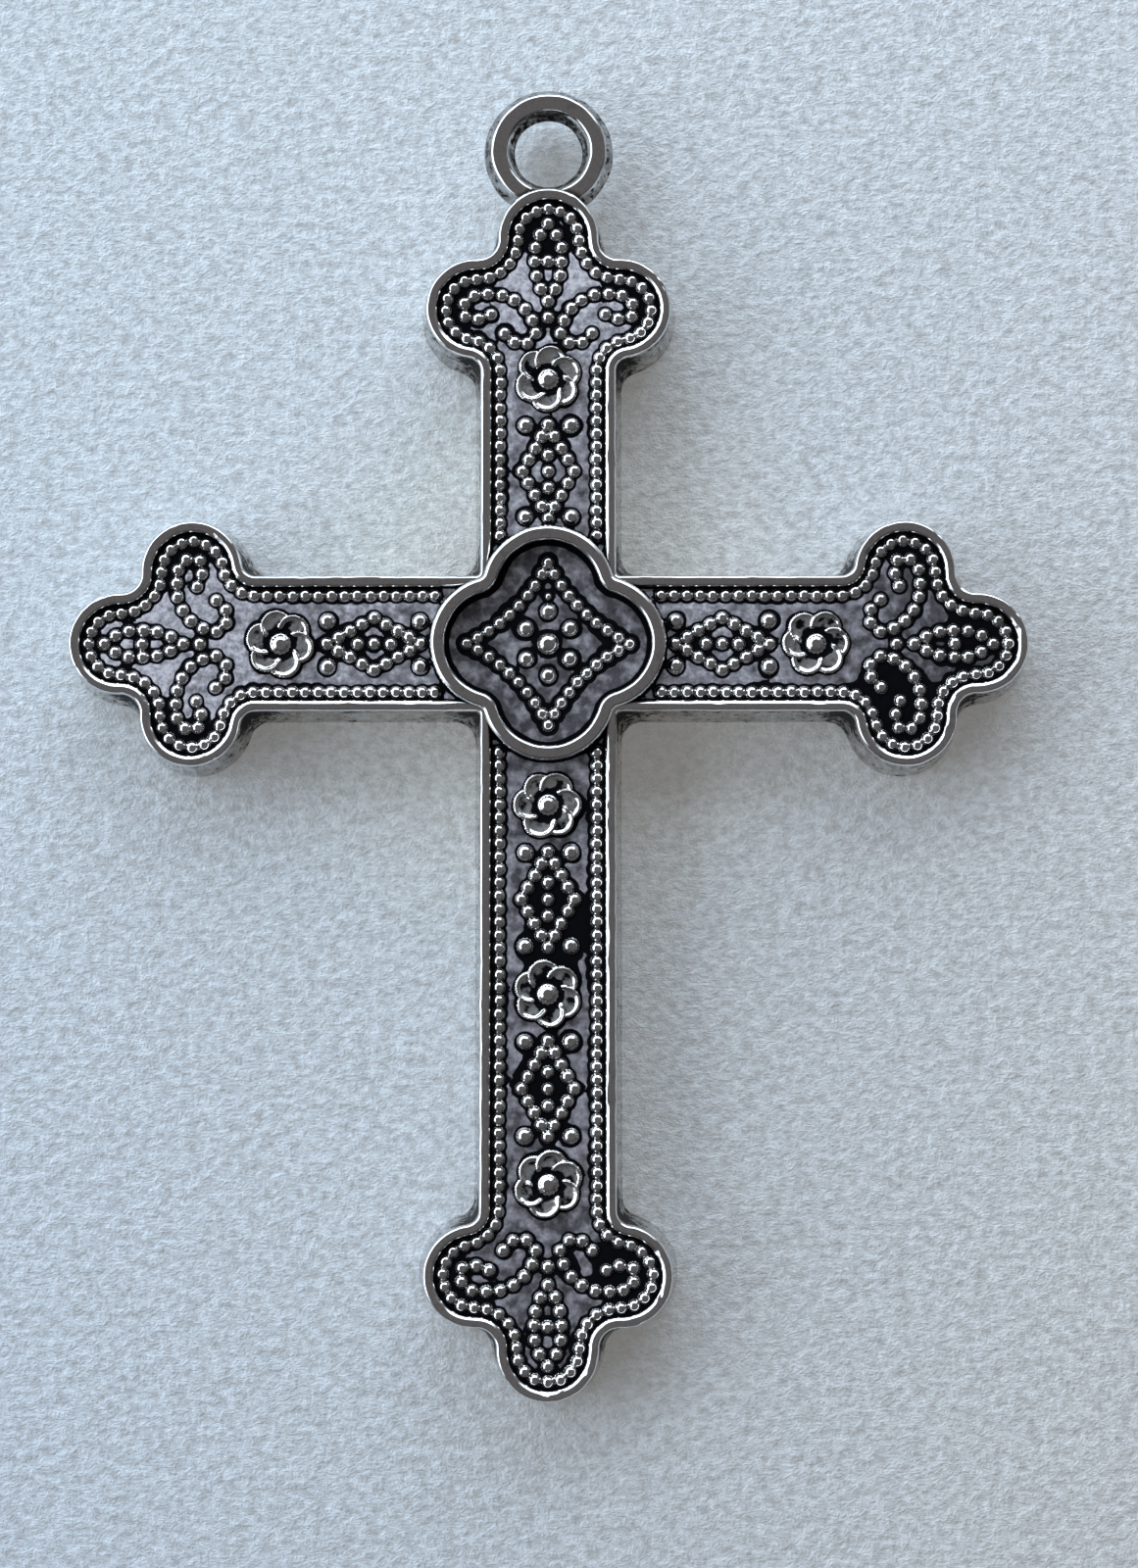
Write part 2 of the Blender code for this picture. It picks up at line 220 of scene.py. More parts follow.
# Stain on the flats, below zero where they are brighter: by the crossing and at the trefoil of each arm
ARM_STAIN = {"right": (-0.1, 0.1), "top": (0.0, -0.17), "left": (-0.06, -0.2), "foot": (0.03, 0.06)}
ARM_STAIN_POWER = 3
MEDALLION_STAIN = 0.12

# Stain on the walls, partly painted shade that darkens them below the rim, in hollow corners and just under
# the rim: pairs are the depths below the rim where it starts and where it is whole
WALL_STAIN_AND_SHADE = 0.45
WALL_STAIN_AND_SHADE_DEPTHS = (-0.00005, 0.0002)
WALL_UNEVEN = 0.15
WALL_UNEVEN_SIZE = 0.003
CORNER_BEND = 14
CORNER_SPREAD = 10
CORNER_FADE = 0.89
CORNER_STAIN_AND_SHADE = 1.27
CORNER_DEPTHS = (0.0, 0.0004)
CORNER_THINNING = 0.4
CORNER_THINNING_DEPTHS = (0.0006, 0.0024)
UNDER_RIM_STAIN_AND_SHADE = 0.35
UNDER_RIM_DEPTHS = (0.00005, 0.0002)
UNDER_RIM_END = (0.0003, 0.0009)
UNDER_RIM_CONTRAST = 1.2
UNDER_RIM_SIZE = 0.0016

# Black foot of the walls round the field: how far up the rim's wall it ends, and how far down the band's
# wall it starts
RIM_FOOT = 0.05
RIM_FOOT_SHINE = 0.6
RIM_FOOT_HEIGHTS = (0.00012, 0.00026)
BAND_FOOT = 1.05
BAND_FOOT_DROPS = (0.0002, 0.0005)

# Stain on the hanging ring: in its hole, on its outer side, where it is partly painted shade, and where it
# joins the lobe
RING_HOLE_STAIN = 0.8
RING_HOLE_REACH = (0.0, 0.0003)
RING_SIDE_STAIN_AND_SHADE = 0.6
RING_SIDE_REACH = (-0.0001, 0.0002)
RING_JOINT_STAIN = 1.1
RING_JOINT_REACH = (0.0, 0.0007)

# Unevenness of the casting: size of the waves, their height, and a seed
CHANCE_SEED = 7
WALL_SEED = 11
NICK_SEED = 13
UNDER_RIM_SEED = 14
FLAT_SEED = 5
BODY_WAVES = ((0.0013, 0.000016, 1), (0.0005, 0.00001, 2))
BODY_SWAY = ((0.0011, 0.000018, 3), (0.0005, 0.000008, 12))
BODY_SWAY_SHIFT = 7
BODY_WAVE_START = 0.0005
NICK_SIZE = 0.0006
NICK_START = 0.3
NICK_FULL = 0.55
NICK_DEPTH = 0.00006
MEDALLION_WAVES = ((0.0014, 0.000014, 4),)
MEDALLION_SWAY = ((0.0012, 0.00002, 5),)
MEDALLION_SWAY_SHIFT = 5
RING_WAVES = ((0.0009, 0.00005, 6),)
RING_SWAY = ((0.0012, 0.00005, 8),)
FLAT_WAVES = ((0.0006, 0.000014, 9),)
PETAL_WAVES = ((0.0003, 0.00006, 10),)

# Fineness of the surfaces
LOBE_STEPS = 48
FILLET_STEPS = 8
MEDALLION_STEPS = 44
CUT_STEPS = 24
PATH_STEPS = 24
RING_SPACING = 0.00024
EDGE_SPACING = 0.00025
FLAT_SPACING = 0.00019
FLAT_ROW_SHARE = 0.87
FLAT_SCATTER = 0.15
FLAT_BEAD_ROOM = 0.3
FLAT_EDGE_ROOM = 0.4
POINT_ROOM = 0.00004
BEAD_ROOM = 0.00003
TINY = 1e-7
LEAST_AREA = 1e-14
MOAT_RINGS = (0.00006, 0.00014)
MOAT_WIDTH = 0.00018
MOAT_SLOPE = (0.5, 1.4)
MOAT_DEPTH = 0.00005

BORDER_PITCH = 2 * BEAD_RADIUS + BORDER_GAP
ROW_PITCH = 2 * BEAD_RADIUS + ROW_GAP
CARVING_PITCH = 2 * BEAD_RADIUS + CARVING_GAP
FIELD_Z = BODY_THICKNESS - FIELD_DEPTH
MEDALLION_TOP_Z = BODY_THICKNESS + MEDALLION_RISE
RING_MIDDLE_RADIUS = RING_HOLE_RADIUS + RING_WIRE_RADIUS
RING_OUTER_RADIUS = RING_MIDDLE_RADIUS + RING_WIRE_RADIUS
RING_OUT = TOP_REACH + TIP_LOBE_OUT + LOBE_RADIUS + RING_OUTER_RADIUS - RING_ROOT
TOP_Y = RING_OUT + RING_OUTER_RADIUS
BOTTOM_Y = -(FOOT_REACH + TIP_LOBE_OUT + LOBE_RADIUS + WALL_FLARE)
CROSSING_Y = -(TOP_Y + BOTTOM_Y) / 2
FULL_TURN = 2 * math.pi
QUARTER_TURN = math.pi / 2

# Each arm: its name, how far its stem is from the crossing, its heading, its first motif's place and kinds
ARMS = (
    ("right", SIDE_REACH, 0.0, FIRST_MOTIF, ("diamond", "flower")),
    ("top", TOP_REACH, QUARTER_TURN, FIRST_MOTIF, ("diamond", "flower")),
    ("left", SIDE_REACH, 2 * QUARTER_TURN, FIRST_MOTIF, ("diamond", "flower")),
    ("foot", FOOT_REACH, 3 * QUARTER_TURN, FIRST_FOOT_MOTIF, ("flower", "diamond")),
)

# The camera, measured from the crossing: where it stands, and the point it looks at
CAMERA_PLACE = (0.0023, -0.0208, 0.175)
CAMERA_TARGET = (0.00127, -0.00855, 0.0038)
CAMERA_LENS = 65.5
CAMERA_SENSOR = 36.0
CAMERA_NEAREST = 0.01

# Light: the azimuth of its bright side, anticlockwise from +X in degrees, and where the window, the
# ceiling and the far end of the room begin
LIGHT_SIDE = 130
LIGHT_STRENGTH = 1.0
OVER_ONE = 1.0001
WINDOW_SIDES = (0.05, 0.4)
WINDOW_TOP = (0.66, 0.58)
WINDOW_COLOUR = (3.2, 3.6, 4.0, 1)
CEILING_EDGE = (0.2, 0.6)
CEILING_COLOUR = (0.122, 0.118, 0.121, 1)
ROOM_FADE = (-0.6, 0.0)
ROOM_LEAN = 0.4
ROOM_NEAR = (0.05, 0.052, 0.055, 1)
ROOM_FAR = (0.19, 0.2, 0.21, 1)

# Floor: the near and far colours of its two sides, which paint light on it, brighter and bluer towards the
# upper left, darker towards the lower right; a painted glow that lifts its shadows; its fibres; and a painted
# warm bounce by the crossing
FLOOR_HALF = 0.8
PAINTED_LIGHT_REACH = 0.05
FELT_LEFT_PAINTED_LIGHT = ((0.595, 0.71, 0.84, 1), (0.77, 0.9, 1.0, 1))
FELT_RIGHT_PAINTED_LIGHT = ((0.58, 0.6, 0.61, 1), (0.77, 0.83, 0.9, 1))
FELT_STRETCH = (0.75, 1.0, 1.0)
FELT_WEB_SCALE = 1700.0
FELT_PAINTED_GLOW = 0.15
FELT_PAINTED_GLOW_COLOUR = (1.0, 0.97, 0.91, 1)
FELT_CELL_SCALE = 1350.0
FELT_WARP_SCALE = FELT_CELL_SCALE * 0.6
FELT_CELL_BEND = 0.0006
FELT_BUMP_STRENGTH = 0.9
FELT_BUMP_HEIGHT = 0.0004
FELT_FIBRES = (0.38, 0.58, 0.66, 1.06)
FELT_CELLS = (0.12, 0.62, 0.87, 1.07)
FELT_ROUGHNESS = 0.9
FELT_SHINE = 0.1
PAINTED_BOUNCE_REACH = (0.009, 0.02)
PAINTED_BOUNCE_TINT = (1.03, 0.98, 0.89, 1)
WHITE = (1, 1, 1, 1)

# Metal: its noises, the spans and edges that its ramps run between, and its colours from patina to plate
BROAD_SCALE = 260.0
BLOTCH_SCALE = 1300.0
SPECK_SCALE = 2400.0
PIT_SCALE = 3500.0
PIT_STRENGTH = 0.2
PIT_DEPTH = 0.00002
GRAIN_SCALE = 6000.0
NOISE_SPAN = (0.3, 0.7)
RAGGEDNESS = (-0.015, 0.025)
METAL_EDGE = (-0.022, -0.05)
SHORE_SPAN = (0.5, 0.75)
SHORE_REACH = (0.12, 0.35)
SHORE_SLOPE = (0.0, 0.03)
CRUST_SPAN = (0.33, 0.67)
CRUST_STAIN = (-0.5, 0.5)
CRUST_EDGE = (0.66, 0.82)
CRUST_COVER = (0.0, 0.93)
WORN_EDGE = (0.33, 0.58)
GLOSS_SHARES = (0.6, 0.4)
GLOSS_EDGE = (0.58, 0.8)
GRIT_SPAN = (0.36, 0.64)
GRIT_CONTRAST = (0.66, 1.36)
GRAIN_SPAN = (0.35, 0.75)
STREAK_STAIN = (-0.25, 0.25)
STREAK_AND_SHADE_EDGE = (0.1, 0.8)
PLATE_ROUGHNESS = (0.05, 0.13)
FLAT_ROUGHNESS = 0.5
FLAT_METALLIC = 0.55
BLACK_PATINA = (0.006, 0.006, 0.008, 1)
DULL_FLAT = (0.13, 0.125, 0.14, 1)
WORN_FLAT = (0.5, 0.49, 0.54, 1)
BRIGHT_FLAT = (0.9, 0.88, 0.98, 1)
BRIGHT_PLATE = (0.82, 0.81, 0.8, 1)
GREY_PLATE = (0.7, 0.69, 0.69, 1)
STAINED_AND_SHADED_PLATE = (0.2, 0.19, 0.175, 1)

chance = random.Random(CHANCE_SEED)


def turn(point, angle):
    cos, sin = math.cos(angle), math.sin(angle)
    return (point[0] * cos - point[1] * sin, point[0] * sin + point[1] * cos)


def mirrored(points):
    return [(u, -v) for u, v in points]


def heading(start, end):
    return math.atan2(end[1] - start[1], end[0] - start[0])


def arc(centre, radius, start, end, steps):
    """Points of an arc from start up to, but not including, end."""
    turns = [start + (end - start) * i / steps for i in range(steps)]
    return [(centre[0] + radius * math.cos(t), centre[1] + radius * math.sin(t)) for t in turns]


def trefoil_half(offset, fillets, lobe_steps=LOBE_STEPS, fillet_steps=FILLET_STEPS):
    """Half of a trefoil's outline, from the bar's edge to the tip, moved outward by offset."""
    notch_fillet, foot_fillet = fillets
    radius = LOBE_RADIUS + offset
    edge = BAR_WIDTH / 2 + offset
    side = (SIDE_LOBE_OUT, -SIDE_LOBE_ACROSS)
    tip = (TIP_LOBE_OUT, 0.0)

    rise = SIDE_LOBE_ACROSS - edge - foot_fillet
    foot = (SIDE_LOBE_OUT - math.sqrt((radius + foot_fillet) ** 2 - rise ** 2), -(edge + foot_fillet))
    half_gap = math.dist(side, tip) / 2
    out = math.sqrt((radius + notch_fillet) ** 2 - half_gap ** 2)
    across = heading(side, tip) - QUARTER_TURN
    middle = ((side[0] + tip[0]) / 2, (side[1] + tip[1]) / 2)
    notch = (middle[0] + out * math.cos(across), middle[1] + out * math.sin(across))

    points = arc(foot, foot_fillet, QUARTER_TURN, heading(foot, side), fillet_steps)
    points += arc(side, radius, heading(side, foot) % FULL_TURN, heading(side, notch) + FULL_TURN, lobe_steps)
    points += arc(notch, notch_fillet, heading(notch, side) % FULL_TURN, heading(notch, tip), fillet_steps)
    points += arc(tip, radius, heading(tip, notch), 0.0, lobe_steps // 3)
    points.append((tip[0] + radius, 0.0))
    return points


def outline(offset, fillets, crossing_fillet):
    """Whole outline of the cross, anticlockwise, moved outward by offset."""
    half = trefoil_half(offset, fillets)
    trefoil = half + mirrored(reversed(half[:-1]))
    edge = BAR_WIDTH / 2 + offset
    corner = edge + crossing_fillet
    bend = arc((corner, corner), crossing_fillet, -QUARTER_TURN, -2 * QUARTER_TURN, FILLET_STEPS)
    bend.append((edge, corner))
    points = []
    for _, reach, angle, _, _ in ARMS:
        points += [turn((reach + u, v), angle) for u, v in trefoil]
        points += [turn(point, angle) for point in bend]
    return np.array(points)


def parallel_outline(offset):
    """The outline moved by offset, with hollow corners that grow or shrink to match."""
    return outline(offset, (NOTCH_FILLET - offset, FOOT_FILLET - offset), CROSSING_FILLET - offset)


def wall_outline(share, inset=0.0):
    """The side wall's outline: share 0 is at the rim, and 1 at the back, where it has flared out."""
    fillet = BACK_FILLET + inset
    back = outline(WALL_FLARE - inset, (fillet, fillet), fillet)
    return parallel_outline(-inset) * (1 - share) + back * share


def quatrefoil(offset):
    """Four round lobes that meet in cusps, moved outward by offset."""
    radius = MEDALLION_LOBE_RADIUS + offset
    cusp = MEDALLION_CUSP_FILLET - offset
    lobe = (MEDALLION_LOBE_OUT, 0.0)
    diagonal = (lobe[0] + math.sqrt(2 * (radius + cusp) ** 2 - lobe[0] ** 2)) / 2
    hollow = (diagonal, diagonal)
    limit = heading(lobe, hollow)
    start = heading(hollow, lobe) % FULL_TURN
    finish = heading(hollow, turn(lobe, QUARTER_TURN)) % FULL_TURN
    quarter = arc(lobe, radius, -limit, limit, MEDALLION_STEPS)
    quarter += arc(hollow, cusp, start, finish, FILLET_STEPS)
    return np.array([turn(point, QUARTER_TURN * k) for k in range(4) for point in quarter])


def under_medallion(spot):
    lobes = [turn((MEDALLION_LOBE_OUT, 0.0), QUARTER_TURN * k) for k in range(4)]
    return min(math.dist(spot, lobe) for lobe in lobes) < MEDALLION_LOBE_RADIUS + BEAD_RADIUS / 2


def path_length(path):
    return sum(math.dist(start, end) for start, end in zip(path, path[1:]))


def point_along(path, distance):
    """Point of a path at a distance from its start."""
    for start, end in zip(path, path[1:]):
        length = math.dist(start, end)
        if distance <= length:
            share = distance / length
            return (start[0] + (end[0] - start[0]) * share, start[1] + (end[1] - start[1]) * share)
        distance -= length
    return path[-1]


def even_points(path, pitch):
    """Points spread evenly from one end of a path to the other, about a pitch apart."""
    steps = max(1, round(path_length(path) / pitch))
    step = path_length(path) / steps
    return [point_along(path, step * i) for i in range(steps + 1)]


def smooth_path(points):
    """Smooth curve through a few points."""
    ends = [points[0], *points, points[-1]]
    path = []
    for knots in zip(ends, ends[1:], ends[2:], ends[3:]):
        for i in range(PATH_STEPS):
            t = i / PATH_STEPS
            pulls = (
                2 * t * t - t - t ** 3,
                2 - 5 * t * t + 3 * t ** 3,
                t + 4 * t * t - 3 * t ** 3,
                t ** 3 - t * t,
            )
            path.append(tuple(sum(pull * knot[k] for pull, knot in zip(pulls, knots)) / 2 for k in range(2)))
    path.append(points[-1])
    return path


def bowed_path(start, end, bow, bluntness=0.0):
    """Bow between two points that stands off the straight line, to the left of its heading."""
    along = heading(start, end)
    span = math.dist(start, end)
    path = []
    for i in range(PATH_STEPS + 1):
        share = i / PATH_STEPS
        stand = 4 * bow * share * (1 - share) * (1 + bluntness * max(0.0, 2 * share - 1))
        x, y = turn((span * share, stand), along)
        path.append((start[0] + x, start[1] + y))
    return path


def border_beads(reach):
    """Beads of half an arm: close together round the trefoil, a little wider apart down the bar."""
    fillets = (NOTCH_FILLET + BEAD_INSET, FOOT_FILLET + BEAD_INSET)
    border = list(reversed(trefoil_half(-BEAD_INSET, fillets)))
    whole = border + [(-reach, border[-1][1])]
    beads = []
    travelled = 0.0
    while travelled < path_length(whole):
        beads.append(point_along(whole, travelled))
        travelled += BORDER_PITCH if travelled < path_length(border) else ROW_PITCH
    return beads


def string_beads(beads, spots, radius=BEAD_RADIUS):
    """Adds beads to a dictionary, where a spot holds one bead however many strings cross it."""
    for x, y in spots:
        beads.setdefault((round(x, 6), round(y, 6)), radius)


def trefoil_beads(beads, reach, angle):
    """Border of one arm, and the leaf, stem and two scrolls of its trefoil."""
    border = border_beads(reach)
    leaf_side = bowed_path((LEAF_START, 0.0), (LEAF_END, 0.0), LEAF_HALF_WIDTH, LEAF_BLUNTNESS)
    leaf = even_points(leaf_side, CARVING_PITCH)
    scroll = even_points(smooth_path(SCROLL_PATH), CARVING_PITCH)
    for side in (border, mirrored(border)):
        spots = [turn((reach + u, v), angle) for u, v in side]
        string_beads(beads, [spot for spot in spots if not under_medallion(spot)])
    for string in (leaf, mirrored(leaf), scroll, mirrored(scroll), [(LEAF_HEART, 0.0)], [(0.0, 0.0)]):
        string_beads(beads, [turn((reach + u, v), angle) for u, v in string])


def diamond_beads(beads, out, angle):
    """A diamond of beads with a row of three inside and a stud at each corner of its panel."""
    side = even_points([(DIAMOND_HALF_LENGTH, 0.0), (0.0, DIAMOND_HALF_WIDTH)], CARVING_PITCH)
    for a in (-1, 1):
        for b in (-1, 1):
            string_beads(beads, [turn((out + a * u, b * v), angle) for u, v in side])
            string_beads(beads, [turn((out + a * STUD_ALONG, b * STUD_ACROSS), angle)], STUD_RADIUS)
    hearts = [(out + k * DIAMOND_HEART_PITCH, 0.0) for k in (-1, 0, 1)]
    string_beads(beads, [turn(heart, angle) for heart in hearts])


def star_beads():
    """The beaded star of the medallion and the studs inside it."""
    beads = {}
    side = even_points(bowed_path((STAR_REACH, 0.0), (0.0, STAR_REACH), STAR_HOLLOW), ROW_PITCH)
    for k in range(4):
        string_beads(beads, [turn(point, QUARTER_TURN * k) for point in side], STAR_BEAD_RADIUS)
    studs = [(a * STAR_PAIR_ACROSS, b * STAR_PAIR_UP) for a in (-1, 1) for b in (-1, 1)]
    studs += [(0.0, STAR_POLE_UP), (0.0, -STAR_POLE_UP)]
    string_beads(beads, studs, STUD_RADIUS)
    string_beads(beads, [(0.0, 0.0)], STAR_HEART_RADIUS)
    string_beads(beads, [(0.0, STAR_BUMP_UP)], STAR_BUMP_RADIUS)
    return cast(beads)


def arm_beads(arm):
    """All the round beads of one arm."""
    _, reach, angle, _, _ = arm
    beads = {}
    trefoil_beads(beads, reach, angle)
    for out, kind in arm_motifs(arm):
        if kind == "diamond":
            diamond_beads(beads, out, angle)
        else:
            string_beads(beads, [turn((out, 0.0), angle)], FLOWER_HEART_RADIUS)
    return cast(beads)


def arm_motifs(arm):
    """Distance from the crossing and kind of every motif on one arm."""
    _, reach, _, first, kinds = arm
    motifs = int((reach - first - STEM_CLEARANCE) / MOTIF_PITCH) + 1
    return [(first + MOTIF_PITCH * k, kinds[k % 2]) for k in range(motifs)]


def cast(beads):
    """Rows of x, y and radius, each a little uneven, as castings are."""
    rows = []
    for (x, y), radius in beads.items():
        rows.append((
            x + chance.uniform(-BEAD_WANDER, BEAD_WANDER),
            y + chance.uniform(-BEAD_WANDER, BEAD_WANDER),
            radius * BEAD_FULLNESS * (1 + chance.uniform(-BEAD_UNEVEN, BEAD_UNEVEN)),
        ))
    return np.array(rows)


def dome(share, radius):
    """Height of a bead above the field at a share of its radius: a cap on a short steep foot."""
    ball = radius / math.sin(BEAD_EDGE_SLOPE)
    cap = np.sqrt(ball ** 2 - (share * radius) ** 2) - ball * math.cos(BEAD_EDGE_SLOPE)
    return cap + BEAD_FOOT * np.sqrt(1 - share ** 4)


def arm_petals(arm):
    """Centre, radius, heading and flower centre of every petal on one arm, each lapping over the last."""
    rows = []
    for along, kind in arm_motifs(arm):
        if kind != "flower":
            continue
        x, y = turn((along, 0.0), arm[2])
        spin = chance.uniform(0, FULL_TURN)
        for k in range(FLOWER_PETALS):
            angle = spin - FULL_TURN * k / FLOWER_PETALS + chance.uniform(-PETAL_SWING, PETAL_SWING)
            out = FLOWER_RADIUS * (PETAL_OUT + chance.uniform(-PETAL_UNEVEN, PETAL_UNEVEN))
            radius = FLOWER_RADIUS * (PETAL_RADIUS + chance.uniform(-PETAL_UNEVEN, PETAL_UNEVEN))
            rows.append((x + out * math.cos(angle), y + out * math.sin(angle), radius, angle, x, y))
    return rows


def petal_points(petals):
    """Rings of points that follow the petals' edges."""
    cloud = []
    for x, y, radius, *_ in petals:
        for k, share in enumerate((PETAL_MARGIN, *PETAL_RINGS)):
            sides = max(PETAL_LEAST_SIDES, round(PETAL_SIDES * share))
            start = PETAL_RING_TWIST * k
            cloud += arc((x, y), radius * share, start, start + FULL_TURN, sides)
    return np.array(cloud)


def petal_surface(plane, petals):
    """Height of the flowers at each point, how deep in patina it lies, and whether it is on a flower."""
    height = np.zeros(len(plane))
    groove = np.zeros(len(plane))
    on_flower = np.zeros(len(plane), dtype=bool)
    for first in range(0, len(petals), FLOWER_PETALS):
        flower = petals[first:first + FLOWER_PETALS]
        from_heart = np.hypot(plane[:, 0] - flower[0][4], plane[:, 1] - flower[0][5])
        spans = [np.hypot(plane[:, 0] - x, plane[:, 1] - y) / radius for x, y, radius, *_ in flower]
        shares = np.array(spans)
        within = shares < PETAL_EDGE
        covered = within & np.roll(within, -1, axis=0) & (from_heart > THROAT_RADIUS * THROAT_CORE)
        shown = within & ~covered
        for k, (x, y, radius, angle, _, _) in enumerate(flower):
            here = shown[k]
            lap = np.cos(np.arctan2(plane[:, 1] - y, plane[:, 0] - x) - angle - QUARTER_TURN) * shares[k]
            lift = np.interp(-shares[k], [-share for share in PETAL_RINGS], PETAL_LIFTS)
            rise = PETAL_HEIGHT * lift * (1 - PETAL_TILT * 0.5 + PETAL_TILT * lap)
            seam = (shares[(k + 1) % FLOWER_PETALS] - 1) * radius
            height[here] = rise[here]
            ridge = np.clip((shares[k][here] - RIDGE_START) / RIDGE_SLOPE, 0, 1)
            groove[here] = (PETAL_SHINE + RIDGE_SHINE * ridge) * np.clip(seam[here] / PETAL_SEAM, 0, 1)
            on_flower |= here
        sunk = smoothstep(THROAT_RADIUS * THROAT_SLOPE[0], THROAT_RADIUS * THROAT_SLOPE[1], from_heart)
        near = from_heart < FLOWER_RADIUS
        height[near] = THROAT_HEIGHT + (height[near] - THROAT_HEIGHT) * sunk[near]
        dark, bright = THROAT_DARKNESS
        groove[near] *= smoothstep(THROAT_RADIUS * dark, THROAT_RADIUS * bright, from_heart)[near]
        on_flower |= from_heart < THROAT_RADIUS
    return height, groove, on_flower


def smoothstep(low, high, value):
    share = np.clip((value - low) / (high - low), 0, 1)
    return share * share * (3 - 2 * share)


def waviness(points, scale, seed):
    """Smooth noise, about -1 to 1, at each point."""
    shift = Vector((seed * 3.1, seed * 1.7, seed * 2.3))
    return np.array([noise.noise(Vector(point) / scale + shift) for point in points])


def unevenness(points, waves):
    """Sum of waves, each given by its size, height and seed, at each point."""
    return sum(waviness(points, size, seed) * height for size, height, seed in waves)


def raised_rings(rings, heights):
    """The points of all the rings, each ring at its own height."""
    return np.concatenate([np.column_stack([ring, np.full(len(ring), z)]) for ring, z in zip(rings, heights)])


def fine_rings(rings, spacing):
    """The rings with extra points in their long straight stretches, the same in each."""
    base = rings[0]
    lengths = np.linalg.norm(np.roll(base, -1, axis=0) - base, axis=1)
    counts = np.maximum(1, np.ceil(lengths / spacing)).astype(int)
    starts = np.repeat(np.arange(len(base)), counts)
    shares = np.concatenate([np.arange(count) / count for count in counts])[:, None]
    return [ring[starts] * (1 - shares) + np.roll(ring, -1, axis=0)[starts] * shares for ring in rings]


def make_piece(name, points, faces, groove, stain_and_shade, material):
    """Object from points measured from the crossing, with the two values that its patina, stain and painted
    shade follow.
    """
    points = np.array(points, dtype=float)
    points[:, 1] += CROSSING_Y
    points = np.clip(points, CAD_LOW, CAD_HIGH)
    mesh = bpy.data.meshes.new(name)
    mesh.from_pydata(points.tolist(), [], faces)
    mesh.validate()
    mesh.update()
    for label, values in (("groove", groove), ("stain_and_shade", stain_and_shade)):
        layer = mesh.attributes.new(label, "FLOAT", "POINT")
        layer.data.foreach_set("value", np.asarray(values, dtype=np.float32))
    mesh.shade_smooth()
    piece = bpy.data.objects.new(name, mesh)
    bpy.context.scene.collection.objects.link(piece)
    mesh.materials.append(material)
    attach(piece, "root")
    return piece


def loft_faces(count, levels):
    """Faces of stacked rings, closed at both ends."""
    faces = []
    for level in range(levels - 1):
        low, high = level * count, (level + 1) * count
        faces += [(low + i, low + (i + 1) % count, high + (i + 1) % count, high + i) for i in range(count)]
    faces.append(tuple(reversed(range(count))))
    faces.append(tuple(range((levels - 1) * count, levels * count)))
    return faces


def band(width, top, outer, inner):
    """Pairs of offset and height for a flat band with a soft shoulder on each side, outer edge first."""
    shares = [i / SHOULDER_STEPS for i in range(SHOULDER_STEPS + 1)]
    levels = [(-outer[0] * share, top - outer[1] * (1 - share) ** 2) for share in shares]
    levels += [(inner[0] * (1 - share) - width, top - inner[1] * share ** 2) for share in shares]
    return levels


